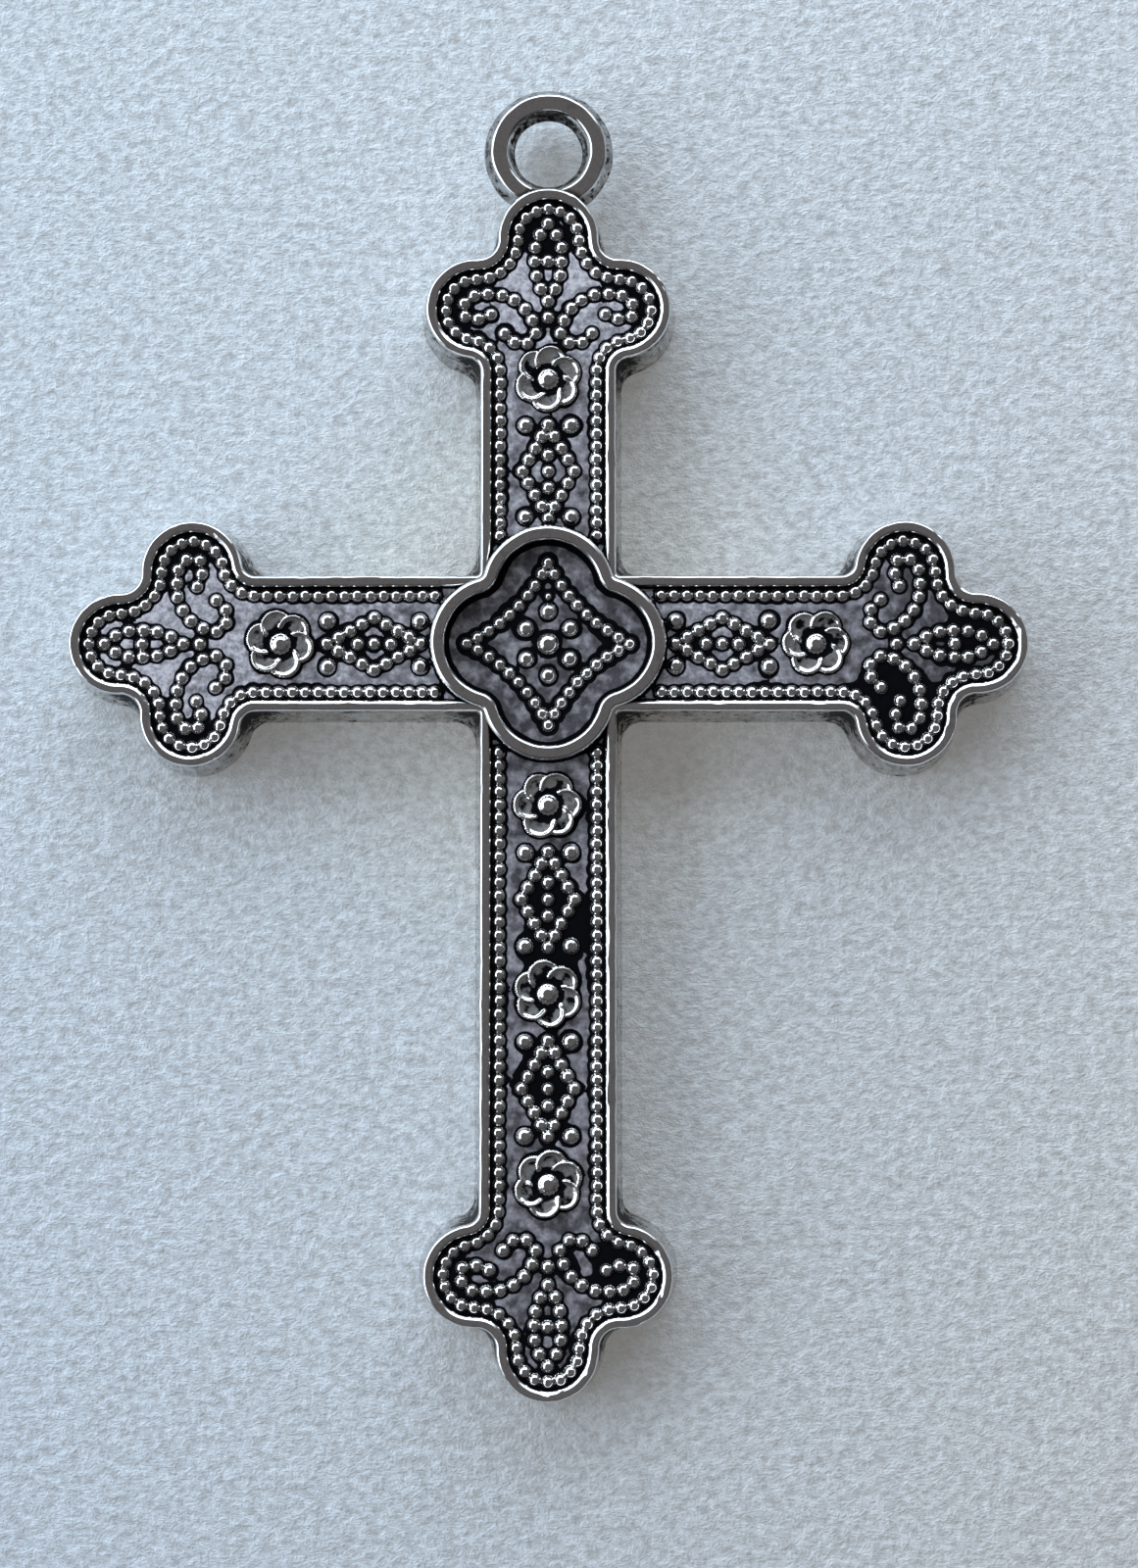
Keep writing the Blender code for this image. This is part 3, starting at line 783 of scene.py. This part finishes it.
def make_body(material):
    """Flat back, flared wall, rounded rim and the wall inside it, down to a floor under the relief."""
    rim_z = BODY_THICKNESS - RIM_OUTER[1]
    levels = []
    for i in range(BACK_STEPS + 1):
        angle = QUARTER_TURN * i / BACK_STEPS
        inset = BACK_ROUND * (1 - math.sin(angle))
        z = BACK_ROUND * (1 - math.cos(angle))
        levels.append((wall_outline(1 - z / rim_z, inset), z))
    for i in range(1, WALL_STEPS):
        share = 1 - i / WALL_STEPS
        z = BACK_ROUND * share + rim_z * (1 - share)
        levels.append((wall_outline(1 - z / rim_z), z))
    profile = band(RIM_WIDTH, BODY_THICKNESS, RIM_OUTER, RIM_INNER)
    profile += [(-RIM_WIDTH + lean, FIELD_Z + up) for lean, up in FIELD_WALL]
    profile.append((-RIM_WIDTH + FIELD_WALL[-1][0], FIELD_Z - HIDDEN_DEPTH))
    levels += [(parallel_outline(offset), z) for offset, z in profile]

    rings = fine_rings([ring for ring, _ in levels], RING_SPACING)
    hollow = hollow_corners(rings[0])
    points = raised_rings(rings, [z for _, z in levels])
    depth = rim_z - points[:, 2]
    outside = np.repeat(np.arange(len(levels)) < len(levels) - len(profile), len(rings[0]))
    # Hollow corners of the walls are blackened: partly patina, partly painted shade.
    corner = np.tile(hollow, len(levels)) * smoothstep(*CORNER_DEPTHS, depth)
    corner *= CORNER_STAIN_AND_SHADE * (1 - CORNER_THINNING * smoothstep(*CORNER_THINNING_DEPTHS, depth))
    # The walls darken below the rim: partly uneven real stain, partly painted shade in place of the shadowed
    # floor they reflect.
    wall_stain_and_shade = WALL_STAIN_AND_SHADE + WALL_UNEVEN * waviness(points, WALL_UNEVEN_SIZE, WALL_SEED)
    wall_stain_and_shade *= smoothstep(*WALL_STAIN_AND_SHADE_DEPTHS, depth)
    # A patchy darker band just under the rim: partly stain, partly painted shade.
    below_rim = smoothstep(*UNDER_RIM_DEPTHS, depth) * (1 - smoothstep(*UNDER_RIM_END, depth))
    patchy = np.clip(0.5 + UNDER_RIM_CONTRAST * waviness(points, UNDER_RIM_SIZE, UNDER_RIM_SEED), 0, 1)
    wall_stain_and_shade += UNDER_RIM_STAIN_AND_SHADE * below_rim * patchy
    stain_and_shade = np.where(outside, np.maximum(corner, wall_stain_and_shade), 0.0)
    foot = RIM_FOOT - smoothstep(*RIM_FOOT_HEIGHTS, points[:, 2] - FIELD_Z) * RIM_FOOT_SHINE
    groove = np.where(outside, -1.0, foot)
    lift = np.clip(points[:, 2] / BODY_WAVE_START, 0, 1)
    wave = unevenness(points, BODY_WAVES)
    across = unevenness(points, BODY_SWAY)
    nicks = smoothstep(NICK_START, NICK_FULL, waviness(points, NICK_SIZE, NICK_SEED)) * NICK_DEPTH
    points[:, 2] += (wave - nicks) * lift
    points[:, 0] += across * lift
    points[:, 1] += np.roll(across, BODY_SWAY_SHIFT) * lift
    faces = loft_faces(len(rings[0]), len(rings))
    body = make_piece("cross_body", points, faces, groove, stain_and_shade, material)
    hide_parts("cross")
    return body


def hollow_corners(ring):
    """How hollow the outline is at each point, from 0 on straight and bulging parts to 1 in tight corners."""
    before = ring - np.roll(ring, 1, axis=0)
    after = np.roll(ring, -1, axis=0) - ring
    bend = before[:, 0] * after[:, 1] - before[:, 1] * after[:, 0]
    size = np.linalg.norm(before, axis=1) * np.linalg.norm(after, axis=1)
    bend = np.clip(-bend / np.maximum(size, LEAST_AREA) * CORNER_BEND, 0, 1)
    for _ in range(CORNER_SPREAD):
        bend = np.maximum(bend, np.maximum(np.roll(bend, 1), np.roll(bend, -1)) * CORNER_FADE)
    return bend


def make_medallion(material):
    """Raised quatrefoil band, rounded on both edges."""
    profile = [(0.0, FIELD_Z - HIDDEN_DEPTH), (0.0, FIELD_Z), (0.0, BODY_THICKNESS)]
    profile += band(MEDALLION_BAND, MEDALLION_TOP_Z, MEDALLION_OUTER, MEDALLION_INNER)
    profile += [(-MEDALLION_BAND, FIELD_Z + up) for up in (MEDALLION_WALL_FOOT, 0.0, -HIDDEN_DEPTH)]
    rings = fine_rings([quatrefoil(offset) for offset, _ in profile], EDGE_SPACING)
    points = raised_rings(rings, [z for _, z in profile])
    drop = MEDALLION_TOP_Z - points[:, 2]
    groove = -1.0 + smoothstep(*BAND_FOOT_DROPS, drop) * BAND_FOOT
    points[:, 2] += unevenness(points, MEDALLION_WAVES)
    across = unevenness(points, MEDALLION_SWAY)
    points[:, 0] += across
    points[:, 1] += np.roll(across, MEDALLION_SWAY_SHIFT)
    faces = loft_faces(len(rings[0]), len(rings))
    make_piece("medallion_band", points, faces, groove, np.zeros(len(points)), material)


def rounded(corners, radius, steps):
    """Anticlockwise convex polygon with each corner turned into an arc."""
    points = []
    for before, corner, after in zip(corners[-1:] + corners[:-1], corners, corners[1:] + corners[:1]):
        first, last = heading(before, corner), heading(corner, after)
        bend = (last - first) % FULL_TURN
        out = radius / math.cos(bend / 2)
        middle = first + bend / 2 + QUARTER_TURN
        centre = (corner[0] + out * math.cos(middle), corner[1] + out * math.sin(middle))
        finish = last - QUARTER_TURN + FULL_TURN * (last < first)
        points += arc(centre, radius, first - QUARTER_TURN, finish, steps)
        points.append((centre[0] + radius * math.sin(last), centre[1] - radius * math.cos(last)))
    return points


def make_ring(material):
    """Hanging ring: its wire has a narrow flat top and sloping sides, and is set into the top lobe."""
    half, side = RING_TOP_HALF_WIDTH, RING_WIRE_RADIUS
    corners = [(side, 0.0), (half, side), (-half, side), (-side, 0.0), (-half, -side), (half, -side)]
    section = np.array(rounded(corners, RING_EDGE_ROUND, RING_CORNER_STEPS))
    section = fine_rings([section], RING_WALL_SPACING)[0]
    points = []
    for i in range(RING_STEPS):
        for across, up in section:
            x, y = turn((RING_MIDDLE_RADIUS + across, 0.0), FULL_TURN * i / RING_STEPS)
            points.append((x, y + RING_OUT, RING_HEIGHT + up))
    points = np.array(points)
    count = len(section)
    faces = []
    for i in range(RING_STEPS):
        low, high = i * count, (i + 1) % RING_STEPS * count
        faces += [(low + k, high + k, high + (k + 1) % count, low + (k + 1) % count) for k in range(count)]
    lobe = np.array([0.0, TOP_REACH + TIP_LOBE_OUT])
    joint = np.linalg.norm(points[:, :2] - lobe, axis=1) - LOBE_RADIUS
    out = np.hypot(points[:, 0], points[:, 1] - RING_OUT)
    stain_and_shade = RING_HOLE_STAIN * smoothstep(*RING_HOLE_REACH, RING_MIDDLE_RADIUS - half - out)
    stain_and_shade = np.maximum(stain_and_shade, RING_JOINT_STAIN * (1 - smoothstep(*RING_JOINT_REACH, joint)))
    # The ring's outer side darkens: partly stain, partly painted shade in place of the shadowed floor it
    # would reflect.
    stain_and_shade = np.maximum(stain_and_shade, RING_SIDE_STAIN_AND_SHADE * smoothstep(*RING_SIDE_REACH, out - RING_MIDDLE_RADIUS - half))
    points[:, 2] += unevenness(points, RING_WAVES)
    points[:, 0] += unevenness(points, RING_SWAY)
    make_piece("hanging_ring", points, faces, np.full(len(points), -1.0), stain_and_shade, material)


def bead_points(beads):
    """Points on and around the beads, each with the row of the bead that it belongs to."""
    clouds = []
    for row, (x, y, radius) in enumerate(beads):
        clouds.append((x, y, row))
        rings = [radius * share for share in BEAD_RINGS] + [radius + gap for gap in MOAT_RINGS]
        twist = chance.uniform(0, FULL_TURN)
        for k, out in enumerate(rings):
            sides = BEAD_SIDES // 2 if k == 0 else BEAD_SIDES
            start = twist + BEAD_RING_TWIST * k
            clouds += [(*point, row) for point in arc((x, y), out, start, start + FULL_TURN, sides)]
    return np.array(clouds)


def nearest_bead(points, beads):
    """For each point the nearest bead, how far off its edge is, and how far off the next bead's edge is."""
    rows = np.zeros(len(points), dtype=int)
    gaps = np.full(len(points), 1.0)
    next_gaps = np.full(len(points), 1.0)
    for row, (x, y, radius) in enumerate(beads):
        gap = np.hypot(points[:, 0] - x, points[:, 1] - y) - radius
        nearer = gap < gaps
        next_gaps = np.minimum(next_gaps, np.maximum(gap, gaps))
        rows[nearer] = row
        gaps[nearer] = gap[nearer]
    return rows, gaps, next_gaps


def crowding(points, beads):
    """How closely beads stand round each point: about 1 beside a string of them, and 2 between two."""
    total = np.zeros(len(points))
    for x, y, radius in beads:
        gap = np.hypot(points[:, 0] - x, points[:, 1] - y) - radius
        total += np.clip(1 - gap / CROWD_REACH, 0, 1)
    return total


def edge_distance(points, edge):
    """Distance from each point to a closed line."""
    best = np.full(len(points), 1.0)
    for start, end in zip(edge, np.roll(edge, -1, axis=0)):
        along = end - start
        share = np.clip((points - start) @ along / max(along @ along, LEAST_AREA), 0, 1)
        gap = np.linalg.norm(points - start - share[:, None] * along, axis=1)
        best = np.minimum(best, gap)
    return best


def inside(points, edge):
    """Whether each point lies inside a closed line."""
    within = np.zeros(len(points), dtype=bool)
    x, y = points[:, 0], points[:, 1]
    for (x0, y0), (x1, y1) in zip(edge, np.roll(edge, -1, axis=0)):
        if y0 == y1:
            continue
        crosses = ((y0 > y) != (y1 > y)) & (x < (x1 - x0) * (y - y0) / (y1 - y0) + x0)
        within ^= crosses
    return within


def flat_points(edge, beads):
    """Scattered points over the flats of a plate."""
    low, high = edge.min(axis=0), edge.max(axis=0)
    xs = np.arange(low[0], high[0], FLAT_SPACING)
    ys = np.arange(low[1], high[1], FLAT_SPACING * FLAT_ROW_SHARE)
    grid = np.array([(x + (k % 2) * FLAT_SPACING / 2, y) for k, y in enumerate(ys) for x in xs])
    scatter = np.random.default_rng(FLAT_SEED).uniform(-FLAT_SCATTER, FLAT_SCATTER, grid.shape)
    grid += scatter * FLAT_SPACING
    grid = grid[inside(grid, edge)]
    _, gaps, _ = nearest_bead(grid, beads)
    clear_of_beads = gaps > MOAT_RINGS[-1] + FLAT_BEAD_ROOM * FLAT_SPACING
    return grid[clear_of_beads & (edge_distance(grid, edge) > FLAT_EDGE_ROOM * FLAT_SPACING)]


def pooled(plane, diamonds):
    """How deep each point lies in a pool of patina or inside a diamond, from 0 outside to 1."""
    depth = np.zeros(len(plane))
    for x, y, radius in PATINA_POOLS:
        gap = np.hypot(plane[:, 0] - x, plane[:, 1] - y) - radius
        depth = np.maximum(depth, smoothstep(POOL_SHORE, -POOL_SHORE, gap))
    for along, angle in diamonds:
        u = plane[:, 0] * math.cos(angle) + plane[:, 1] * math.sin(angle) - along
        v = plane[:, 1] * math.cos(angle) - plane[:, 0] * math.sin(angle)
        across = np.abs(u) / DIAMOND_HALF_LENGTH + np.abs(v) / DIAMOND_HALF_WIDTH
        depth = np.maximum(depth, smoothstep(*DIAMOND_SHORE, across) * DIAMOND_SOAK)
    return depth


def arm_stain(plane, arm):
    """Stain of an arm's flats, which changes from the crossing to the trefoil."""
    near, far = ARM_STAIN[arm[0]]
    return near + (far - near) * (np.hypot(plane[:, 0], plane[:, 1]) / arm[1]) ** ARM_STAIN_POWER


def medallion_soak(plane):
    """Patina spreads further outside the star than between its studs."""
    start, end = MEDALLION_SOAK_REACH
    out = np.hypot(plane[:, 0], plane[:, 1])
    return MEDALLION_SOAK * smoothstep(STAR_REACH * start, STAR_REACH * end, out)


def make_plate(name, edge, foot, beads, petals, patina, stain_and_shade, material):
    """Closed plate that carries the relief: edge is its hidden outline, and foot the line where walls end."""
    cloud = bead_points(beads)
    rows, gaps, _ = nearest_bead(cloud[:, :2], beads)
    own = (rows == cloud[:, 2]) | (gaps > BEAD_ROOM)
    cloud = cloud[own, :2]
    flats = flat_points(edge, beads)
    if petals:
        _, _, on_flower = petal_surface(flats, petals)
        leaves = petal_points(petals)
        _, gaps, _ = nearest_bead(leaves, beads)
        cloud = np.concatenate([cloud, leaves[gaps > POINT_ROOM]])
        flats = flats[~on_flower]
    cloud = cloud[inside(cloud, edge)]
    cloud = cloud[edge_distance(cloud, edge) > POINT_ROOM]
    flat = [Vector(point) for point in np.concatenate([edge, cloud, flats])]
    made, _, triangles, sources, _, _ = delaunay_2d_cdt(flat, [], [list(range(len(edge)))], 1, TINY)
    plane = np.array([tuple(point) for point in made])

    rows, gaps, next_gaps = nearest_bead(plane, beads)
    radius = beads[rows, 2]
    seam = np.clip((next_gaps - gaps) / BEAD_SEAM, 0, 1)
    rise = dome(np.clip(1 + gaps / radius, 0, 1), radius) * (SEAM_HEIGHT + (1 - SEAM_HEIGHT) * seam)
    beside = np.minimum(gaps, edge_distance(plane, foot))
    for x, y, leaf, *_ in petals:
        beside = np.minimum(beside, np.hypot(plane[:, 0] - x, plane[:, 1] - y) - leaf)
    spots = np.column_stack([plane, np.zeros(len(plane))])
    moat = -MOAT_DEPTH * (1 - smoothstep(MOAT_WIDTH * MOAT_SLOPE[0], MOAT_WIDTH * MOAT_SLOPE[1], beside))
    top = moat + unevenness(spots, FLAT_WAVES)
    crowd = CROWD_SOAK * np.clip(crowding(plane, beads) - CROWD_START, 0, 1)
    groove = np.clip(beside / MM - patina(plane) - crowd, 0, None)
    if petals:
        height, dark, on_flower = petal_surface(plane, petals)
        top = np.where(on_flower, height + unevenness(spots, PETAL_WAVES), top)
        groove = np.where(on_flower, dark, groove)
    on_bead = gaps < -TINY
    top = np.where(on_bead, rise - MOAT_DEPTH, top) + FIELD_Z
    cleared = np.clip((seam - SEAM_DARKNESS) / (1 - SEAM_DARKNESS), 0, 1)
    groove = np.where(on_bead, -(rise / MM) * cleared, groove)

    count = len(plane)
    corners = {}
    for k, from_points in enumerate(sources):
        for source in from_points:
            if source < len(edge):
                corners[source] = k
    loop = [corners[k] for k in range(len(edge))]
    bottom = np.column_stack([plane[loop], np.full(len(loop), FIELD_Z - PLATE_DEPTH)])
    points = np.concatenate([np.column_stack([plane, top]), bottom])
    faces = [tuple(triangle) for triangle in triangles]
    for k in range(len(loop)):
        m = (k + 1) % len(loop)
        faces.append((loop[m], loop[k], count + k, count + m))
    faces.append(tuple(reversed(range(count, count + len(loop)))))
    groove = np.concatenate([groove, np.zeros(len(loop))])
    make_piece(name, points, faces, groove, stain_and_shade(points), material)


def arm_edge(reach, offset, seam):
    """Closed line round one arm's field, cut off under the medallion's band."""
    fillets = (NOTCH_FILLET + offset, FOOT_FILLET + offset)
    half = trefoil_half(-offset, fillets)
    side = BAR_WIDTH / 2 - offset
    radius = MEDALLION_LOBE_RADIUS - seam
    limit = math.asin(side / radius)
    cut = arc((MEDALLION_LOBE_OUT, 0.0), radius, limit, -limit, CUT_STEPS)
    cut.append((MEDALLION_LOBE_OUT + radius * math.cos(limit), -side))
    trefoil = [(reach + u, v) for u, v in half + mirrored(reversed(half[:-1]))]
    line = cut + trefoil
    return fine_rings([np.array(line)], EDGE_SPACING)[0]


class Nodes:
    """Short way to add nodes to a tree and wire them up."""

    def __init__(self, tree):
        self.tree = tree

    def add(self, kind, settings=None, **inputs):
        node = self.tree.nodes.new(kind)
        for name, value in (settings or {}).items():
            setattr(node, name, value)
        for name, value in inputs.items():
            place = int(name[1:]) if name[1:].isdigit() else name
            self.wire(value, node.inputs[place])
        return node

    def wire(self, value, target):
        if isinstance(value, bpy.types.NodeSocket):
            self.tree.links.new(value, target)
        else:
            target.default_value = value

    def math(self, operation, a, b=0.0):
        return self.add("ShaderNodeMath", {"operation": operation}, i0=a, i1=b).outputs[0]

    def vector(self, operation, **inputs):
        return self.add("ShaderNodeVectorMath", {"operation": operation}, **inputs).outputs[0]

    def ramp(self, value, low, high, first=0.0, last=1.0):
        node = self.add("ShaderNodeMapRange", {"clamp": True}, i0=value, i1=low, i2=high, i3=first, i4=last)
        return node.outputs[0]

    def mix(self, share, a, b):
        node = self.add("ShaderNodeMix", {"data_type": "RGBA"}, i0=share, i6=a, i7=b)
        return node.outputs[2]

    def noise(self, place, scale, detail=2.0, rough=0.5):
        node = self.add("ShaderNodeTexNoise", Vector=place, Scale=scale, Detail=detail, Roughness=rough)
        return node.outputs["Fac"]


def new_material(name):
    material = bpy.data.materials.new(name)
    material.use_nodes = True
    nodes = Nodes(material.node_tree)
    return material, nodes, material.node_tree.nodes["Principled BSDF"]


def antique_silver():
    """Bright plated cast alloy with black patina in the hollows, dull violet-grey flats, and walls darkened
    by stain that is partly painted shade.
    """
    material, nodes, shader = new_material("antique_silver")
    place = nodes.add("ShaderNodeTexCoord").outputs["Object"]
    groove = nodes.add("ShaderNodeAttribute", {"attribute_name": "groove"}).outputs["Fac"]
    stain_and_shade = nodes.add("ShaderNodeAttribute", {"attribute_name": "stain_and_shade"}).outputs["Fac"]
    blotch = nodes.noise(place, BLOTCH_SCALE, 3.0)
    grain = nodes.noise(place, GRAIN_SCALE)
    broad = nodes.noise(place, BROAD_SCALE)
    ragged = nodes.ramp(blotch, *NOISE_SPAN, *RAGGEDNESS)
    speck = nodes.noise(place, SPECK_SCALE, 4.0, 0.7)
    # Black crust where the stain is heavy: patina, and in the hollow corners partly painted shade.
    stained_and_shaded = nodes.math("ADD", stain_and_shade, nodes.ramp(speck, *CRUST_SPAN, *CRUST_STAIN))
    crust_and_shade = nodes.ramp(stained_and_shaded, *CRUST_EDGE, *CRUST_COVER)
    clean = nodes.math("SUBTRACT", 1.0, crust_and_shade)
    metal = nodes.ramp(nodes.math("ADD", groove, ragged), *METAL_EDGE)
    raised = nodes.math("MULTIPLY", metal, clean)
    shore = nodes.ramp(broad, *SHORE_SPAN, *SHORE_REACH)
    flat = nodes.ramp(nodes.math("SUBTRACT", nodes.math("ADD", groove, ragged), shore), *SHORE_SLOPE)
    worn = nodes.ramp(nodes.math("SUBTRACT", blotch, stain_and_shade), *WORN_EDGE)
    flats = nodes.mix(worn, DULL_FLAT, WORN_FLAT)
    soft, sharp = GLOSS_SHARES
    gloss = nodes.math("ADD", nodes.math("MULTIPLY", blotch, soft), nodes.math("MULTIPLY", speck, sharp))
    flats = nodes.mix(nodes.ramp(nodes.math("SUBTRACT", gloss, stain_and_shade), *GLOSS_EDGE), flats, BRIGHT_FLAT)
    flats = nodes.vector("SCALE", i0=flats, i3=nodes.ramp(speck, *GRIT_SPAN, *GRIT_CONTRAST))
    bright = nodes.mix(nodes.ramp(grain, *GRAIN_SPAN), BRIGHT_PLATE, GREY_PLATE)
    # Stain darkens the plate; on the walls and the ring's outer side it is partly painted shade.
    streak_and_shade = nodes.math("ADD", stain_and_shade, nodes.ramp(blotch, *NOISE_SPAN, *STREAK_STAIN))
    bright = nodes.mix(nodes.ramp(streak_and_shade, *STREAK_AND_SHADE_EDGE), bright, STAINED_AND_SHADED_PLATE)
    colour = nodes.mix(raised, nodes.mix(flat, BLACK_PATINA, flats), bright)
    nodes.wire(colour, shader.inputs["Base Color"])
    metallic = nodes.math("MAXIMUM", raised, nodes.math("MULTIPLY", flat, FLAT_METALLIC))
    nodes.wire(metallic, shader.inputs["Metallic"])
    shine = nodes.math("MULTIPLY", nodes.math("MAXIMUM", raised, flat), 0.5)
    nodes.wire(shine, shader.inputs["Specular IOR Level"])
    smooth = nodes.ramp(grain, *NOISE_SPAN, *PLATE_ROUGHNESS)
    rough = nodes.add("ShaderNodeMix", {"data_type": "FLOAT"}, i0=raised, i2=FLAT_ROUGHNESS, i3=smooth)
    nodes.wire(rough.outputs[0], shader.inputs["Roughness"])
    pits = nodes.noise(place, PIT_SCALE, 3.0, 0.6)
    bumps = nodes.add("ShaderNodeBump", Strength=PIT_STRENGTH, Distance=PIT_DEPTH, Height=pits)
    nodes.wire(bumps.outputs[0], shader.inputs["Normal"])
    return material


def felt():
    """Pale felt with fine fibres and painted light: colour darker away from the bright side, a painted glow
    in its shadows, a painted warm bounce by the crossing.
    """
    material, nodes, shader = new_material("pale_floor")
    place = nodes.add("ShaderNodeTexCoord").outputs["Object"]
    parts = nodes.add("ShaderNodeSeparateXYZ", Vector=place).outputs
    # Painted light: the floor's colour is brighter and bluer towards the upper left and darker towards the
    # lower right.
    across = nodes.ramp(parts[0], -PAINTED_LIGHT_REACH, PAINTED_LIGHT_REACH)
    up = nodes.ramp(parts[1], -PAINTED_LIGHT_REACH, PAINTED_LIGHT_REACH)
    left = nodes.mix(up, *FELT_LEFT_PAINTED_LIGHT)
    right = nodes.mix(up, *FELT_RIGHT_PAINTED_LIGHT)
    grown = nodes.add("ShaderNodeMapping", Vector=place, Scale=FELT_STRETCH)
    web = nodes.noise(grown.outputs[0], FELT_WEB_SCALE, 4.0, 0.8)
    warp = nodes.add("ShaderNodeTexNoise", Vector=place, Scale=FELT_WARP_SCALE, Detail=2.0).outputs["Color"]
    loose = nodes.vector("ADD", i0=place, i1=nodes.vector("SCALE", i0=warp, i3=FELT_CELL_BEND))
    cells = nodes.add("ShaderNodeTexVoronoi", Vector=loose, Scale=FELT_CELL_SCALE).outputs["Distance"]
    tone = nodes.math("MULTIPLY", nodes.ramp(web, *FELT_FIBRES), nodes.ramp(cells, *FELT_CELLS))
    colour = nodes.vector("SCALE", i0=nodes.mix(across, left, right), i3=tone)
    # Painted bounce light: the floor is warmer near the crossing.
    reach = nodes.add("ShaderNodeVectorMath", {"operation": "DISTANCE"}, i0=place, i1=(0, CROSSING_Y, 0))
    painted_bounce = nodes.mix(nodes.ramp(reach.outputs["Value"], *PAINTED_BOUNCE_REACH), PAINTED_BOUNCE_TINT, WHITE)
    nodes.wire(nodes.vector("MULTIPLY", i0=colour, i1=painted_bounce), shader.inputs["Base Color"])
    # Painted light: the floor glows faintly, which lifts its shadows.
    shader.inputs["Emission Color"].default_value = FELT_PAINTED_GLOW_COLOUR
    shader.inputs["Emission Strength"].default_value = FELT_PAINTED_GLOW
    shader.inputs["Roughness"].default_value = FELT_ROUGHNESS
    shader.inputs["Specular IOR Level"].default_value = FELT_SHINE
    bumps = nodes.add("ShaderNodeBump", Strength=FELT_BUMP_STRENGTH, Distance=FELT_BUMP_HEIGHT, Height=web)
    nodes.wire(bumps.outputs[0], shader.inputs["Normal"])
    return material


def make_floor():
    mesh = bpy.data.meshes.new("floor")
    half = FLOOR_HALF
    corners = [(-half, -half, 0), (half, -half, 0), (half, half, 0), (-half, half, 0)]
    mesh.from_pydata(corners, [], [(0, 1, 2, 3)])
    floor = bpy.data.objects.new("floor", mesh)
    bpy.context.scene.collection.objects.link(floor)
    mesh.materials.append(felt())


def make_light():
    """Soft light from all round: a broad bright side at the upper left, and a dim ceiling."""
    world = bpy.data.worlds.new("studio")
    bpy.context.scene.world = world
    world.use_nodes = True
    nodes = Nodes(world.node_tree)
    way = nodes.add("ShaderNodeTexCoord").outputs["Generated"]
    parts = nodes.add("ShaderNodeSeparateXYZ", Vector=way).outputs
    aim = math.radians(LIGHT_SIDE)
    toward = nodes.math("ADD", nodes.math("MULTIPLY", parts[0], math.cos(aim)),
                        nodes.math("MULTIPLY", parts[1], math.sin(aim)))
    level = nodes.math("SQRT", nodes.math("SUBTRACT", OVER_ONE, nodes.math("MULTIPLY", parts[2], parts[2])))
    toward = nodes.math("DIVIDE", toward, level)
    height = parts[2]
    window = nodes.math("MULTIPLY", nodes.ramp(toward, *WINDOW_SIDES), nodes.ramp(height, *WINDOW_TOP))
    north = nodes.math("SUBTRACT", parts[1], nodes.math("MULTIPLY", parts[0], ROOM_LEAN))
    room = nodes.mix(nodes.ramp(north, *ROOM_FADE), ROOM_NEAR, ROOM_FAR)
    colour = nodes.mix(nodes.ramp(height, *CEILING_EDGE), room, CEILING_COLOUR)
    colour = nodes.mix(window, colour, WINDOW_COLOUR)
    nodes.wire(colour, world.node_tree.nodes["Background"].inputs["Color"])
    world.node_tree.nodes["Background"].inputs["Strength"].default_value = LIGHT_STRENGTH


def make_camera():
    camera = bpy.data.objects.new("camera", bpy.data.cameras.new("camera"))
    camera.data.lens = CAMERA_LENS
    camera.data.sensor_width = CAMERA_SENSOR
    camera.data.clip_start = CAMERA_NEAREST
    crossing = Vector((0.0, CROSSING_Y, 0.0))
    camera.location = crossing + Vector(CAMERA_PLACE)
    look = (crossing + Vector(CAMERA_TARGET) - camera.location).normalized()
    right = look.cross(Vector((0.0, 1.0, 0.0))).normalized()
    camera.rotation_euler = Matrix((right, right.cross(look), -look)).transposed().to_euler()
    bpy.context.scene.collection.objects.link(camera)
    bpy.context.scene.camera = camera


def main():
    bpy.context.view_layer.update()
    silver = antique_silver()
    make_body(silver)
    make_medallion(silver)
    make_ring(silver)
    for arm in ARMS:
        name, reach, angle, _, _ = arm
        line = arm_edge(reach, PLATE_EDGE, MEDALLION_SEAM)
        edge = np.array([turn(point, angle) for point in line])
        line = arm_edge(reach, RIM_WIDTH, 0.0)
        foot = np.array([turn(point, angle) for point in line])
        dark = name in DARK_DIAMONDS
        diamonds = [(along, angle) for along, kind in arm_motifs(arm) if dark and kind == "diamond"]
        make_plate(name + "_relief", edge, foot, arm_beads(arm), arm_petals(arm),
                   lambda plane: pooled(plane, diamonds) + ARM_SOAK[name],
                   lambda plane: arm_stain(plane, arm), silver)
    edge = fine_rings([quatrefoil(-MEDALLION_SEAM - MEDALLION_EDGE_MARGIN)], EDGE_SPACING)[0]
    make_plate("medallion_relief", edge, quatrefoil(-MEDALLION_BAND), star_beads(), [], medallion_soak,
               lambda plane: np.full(len(plane), MEDALLION_STAIN), silver)
    make_floor()
    make_light()
    make_camera()
    bpy.context.scene.view_settings.view_transform = "Standard"


main()
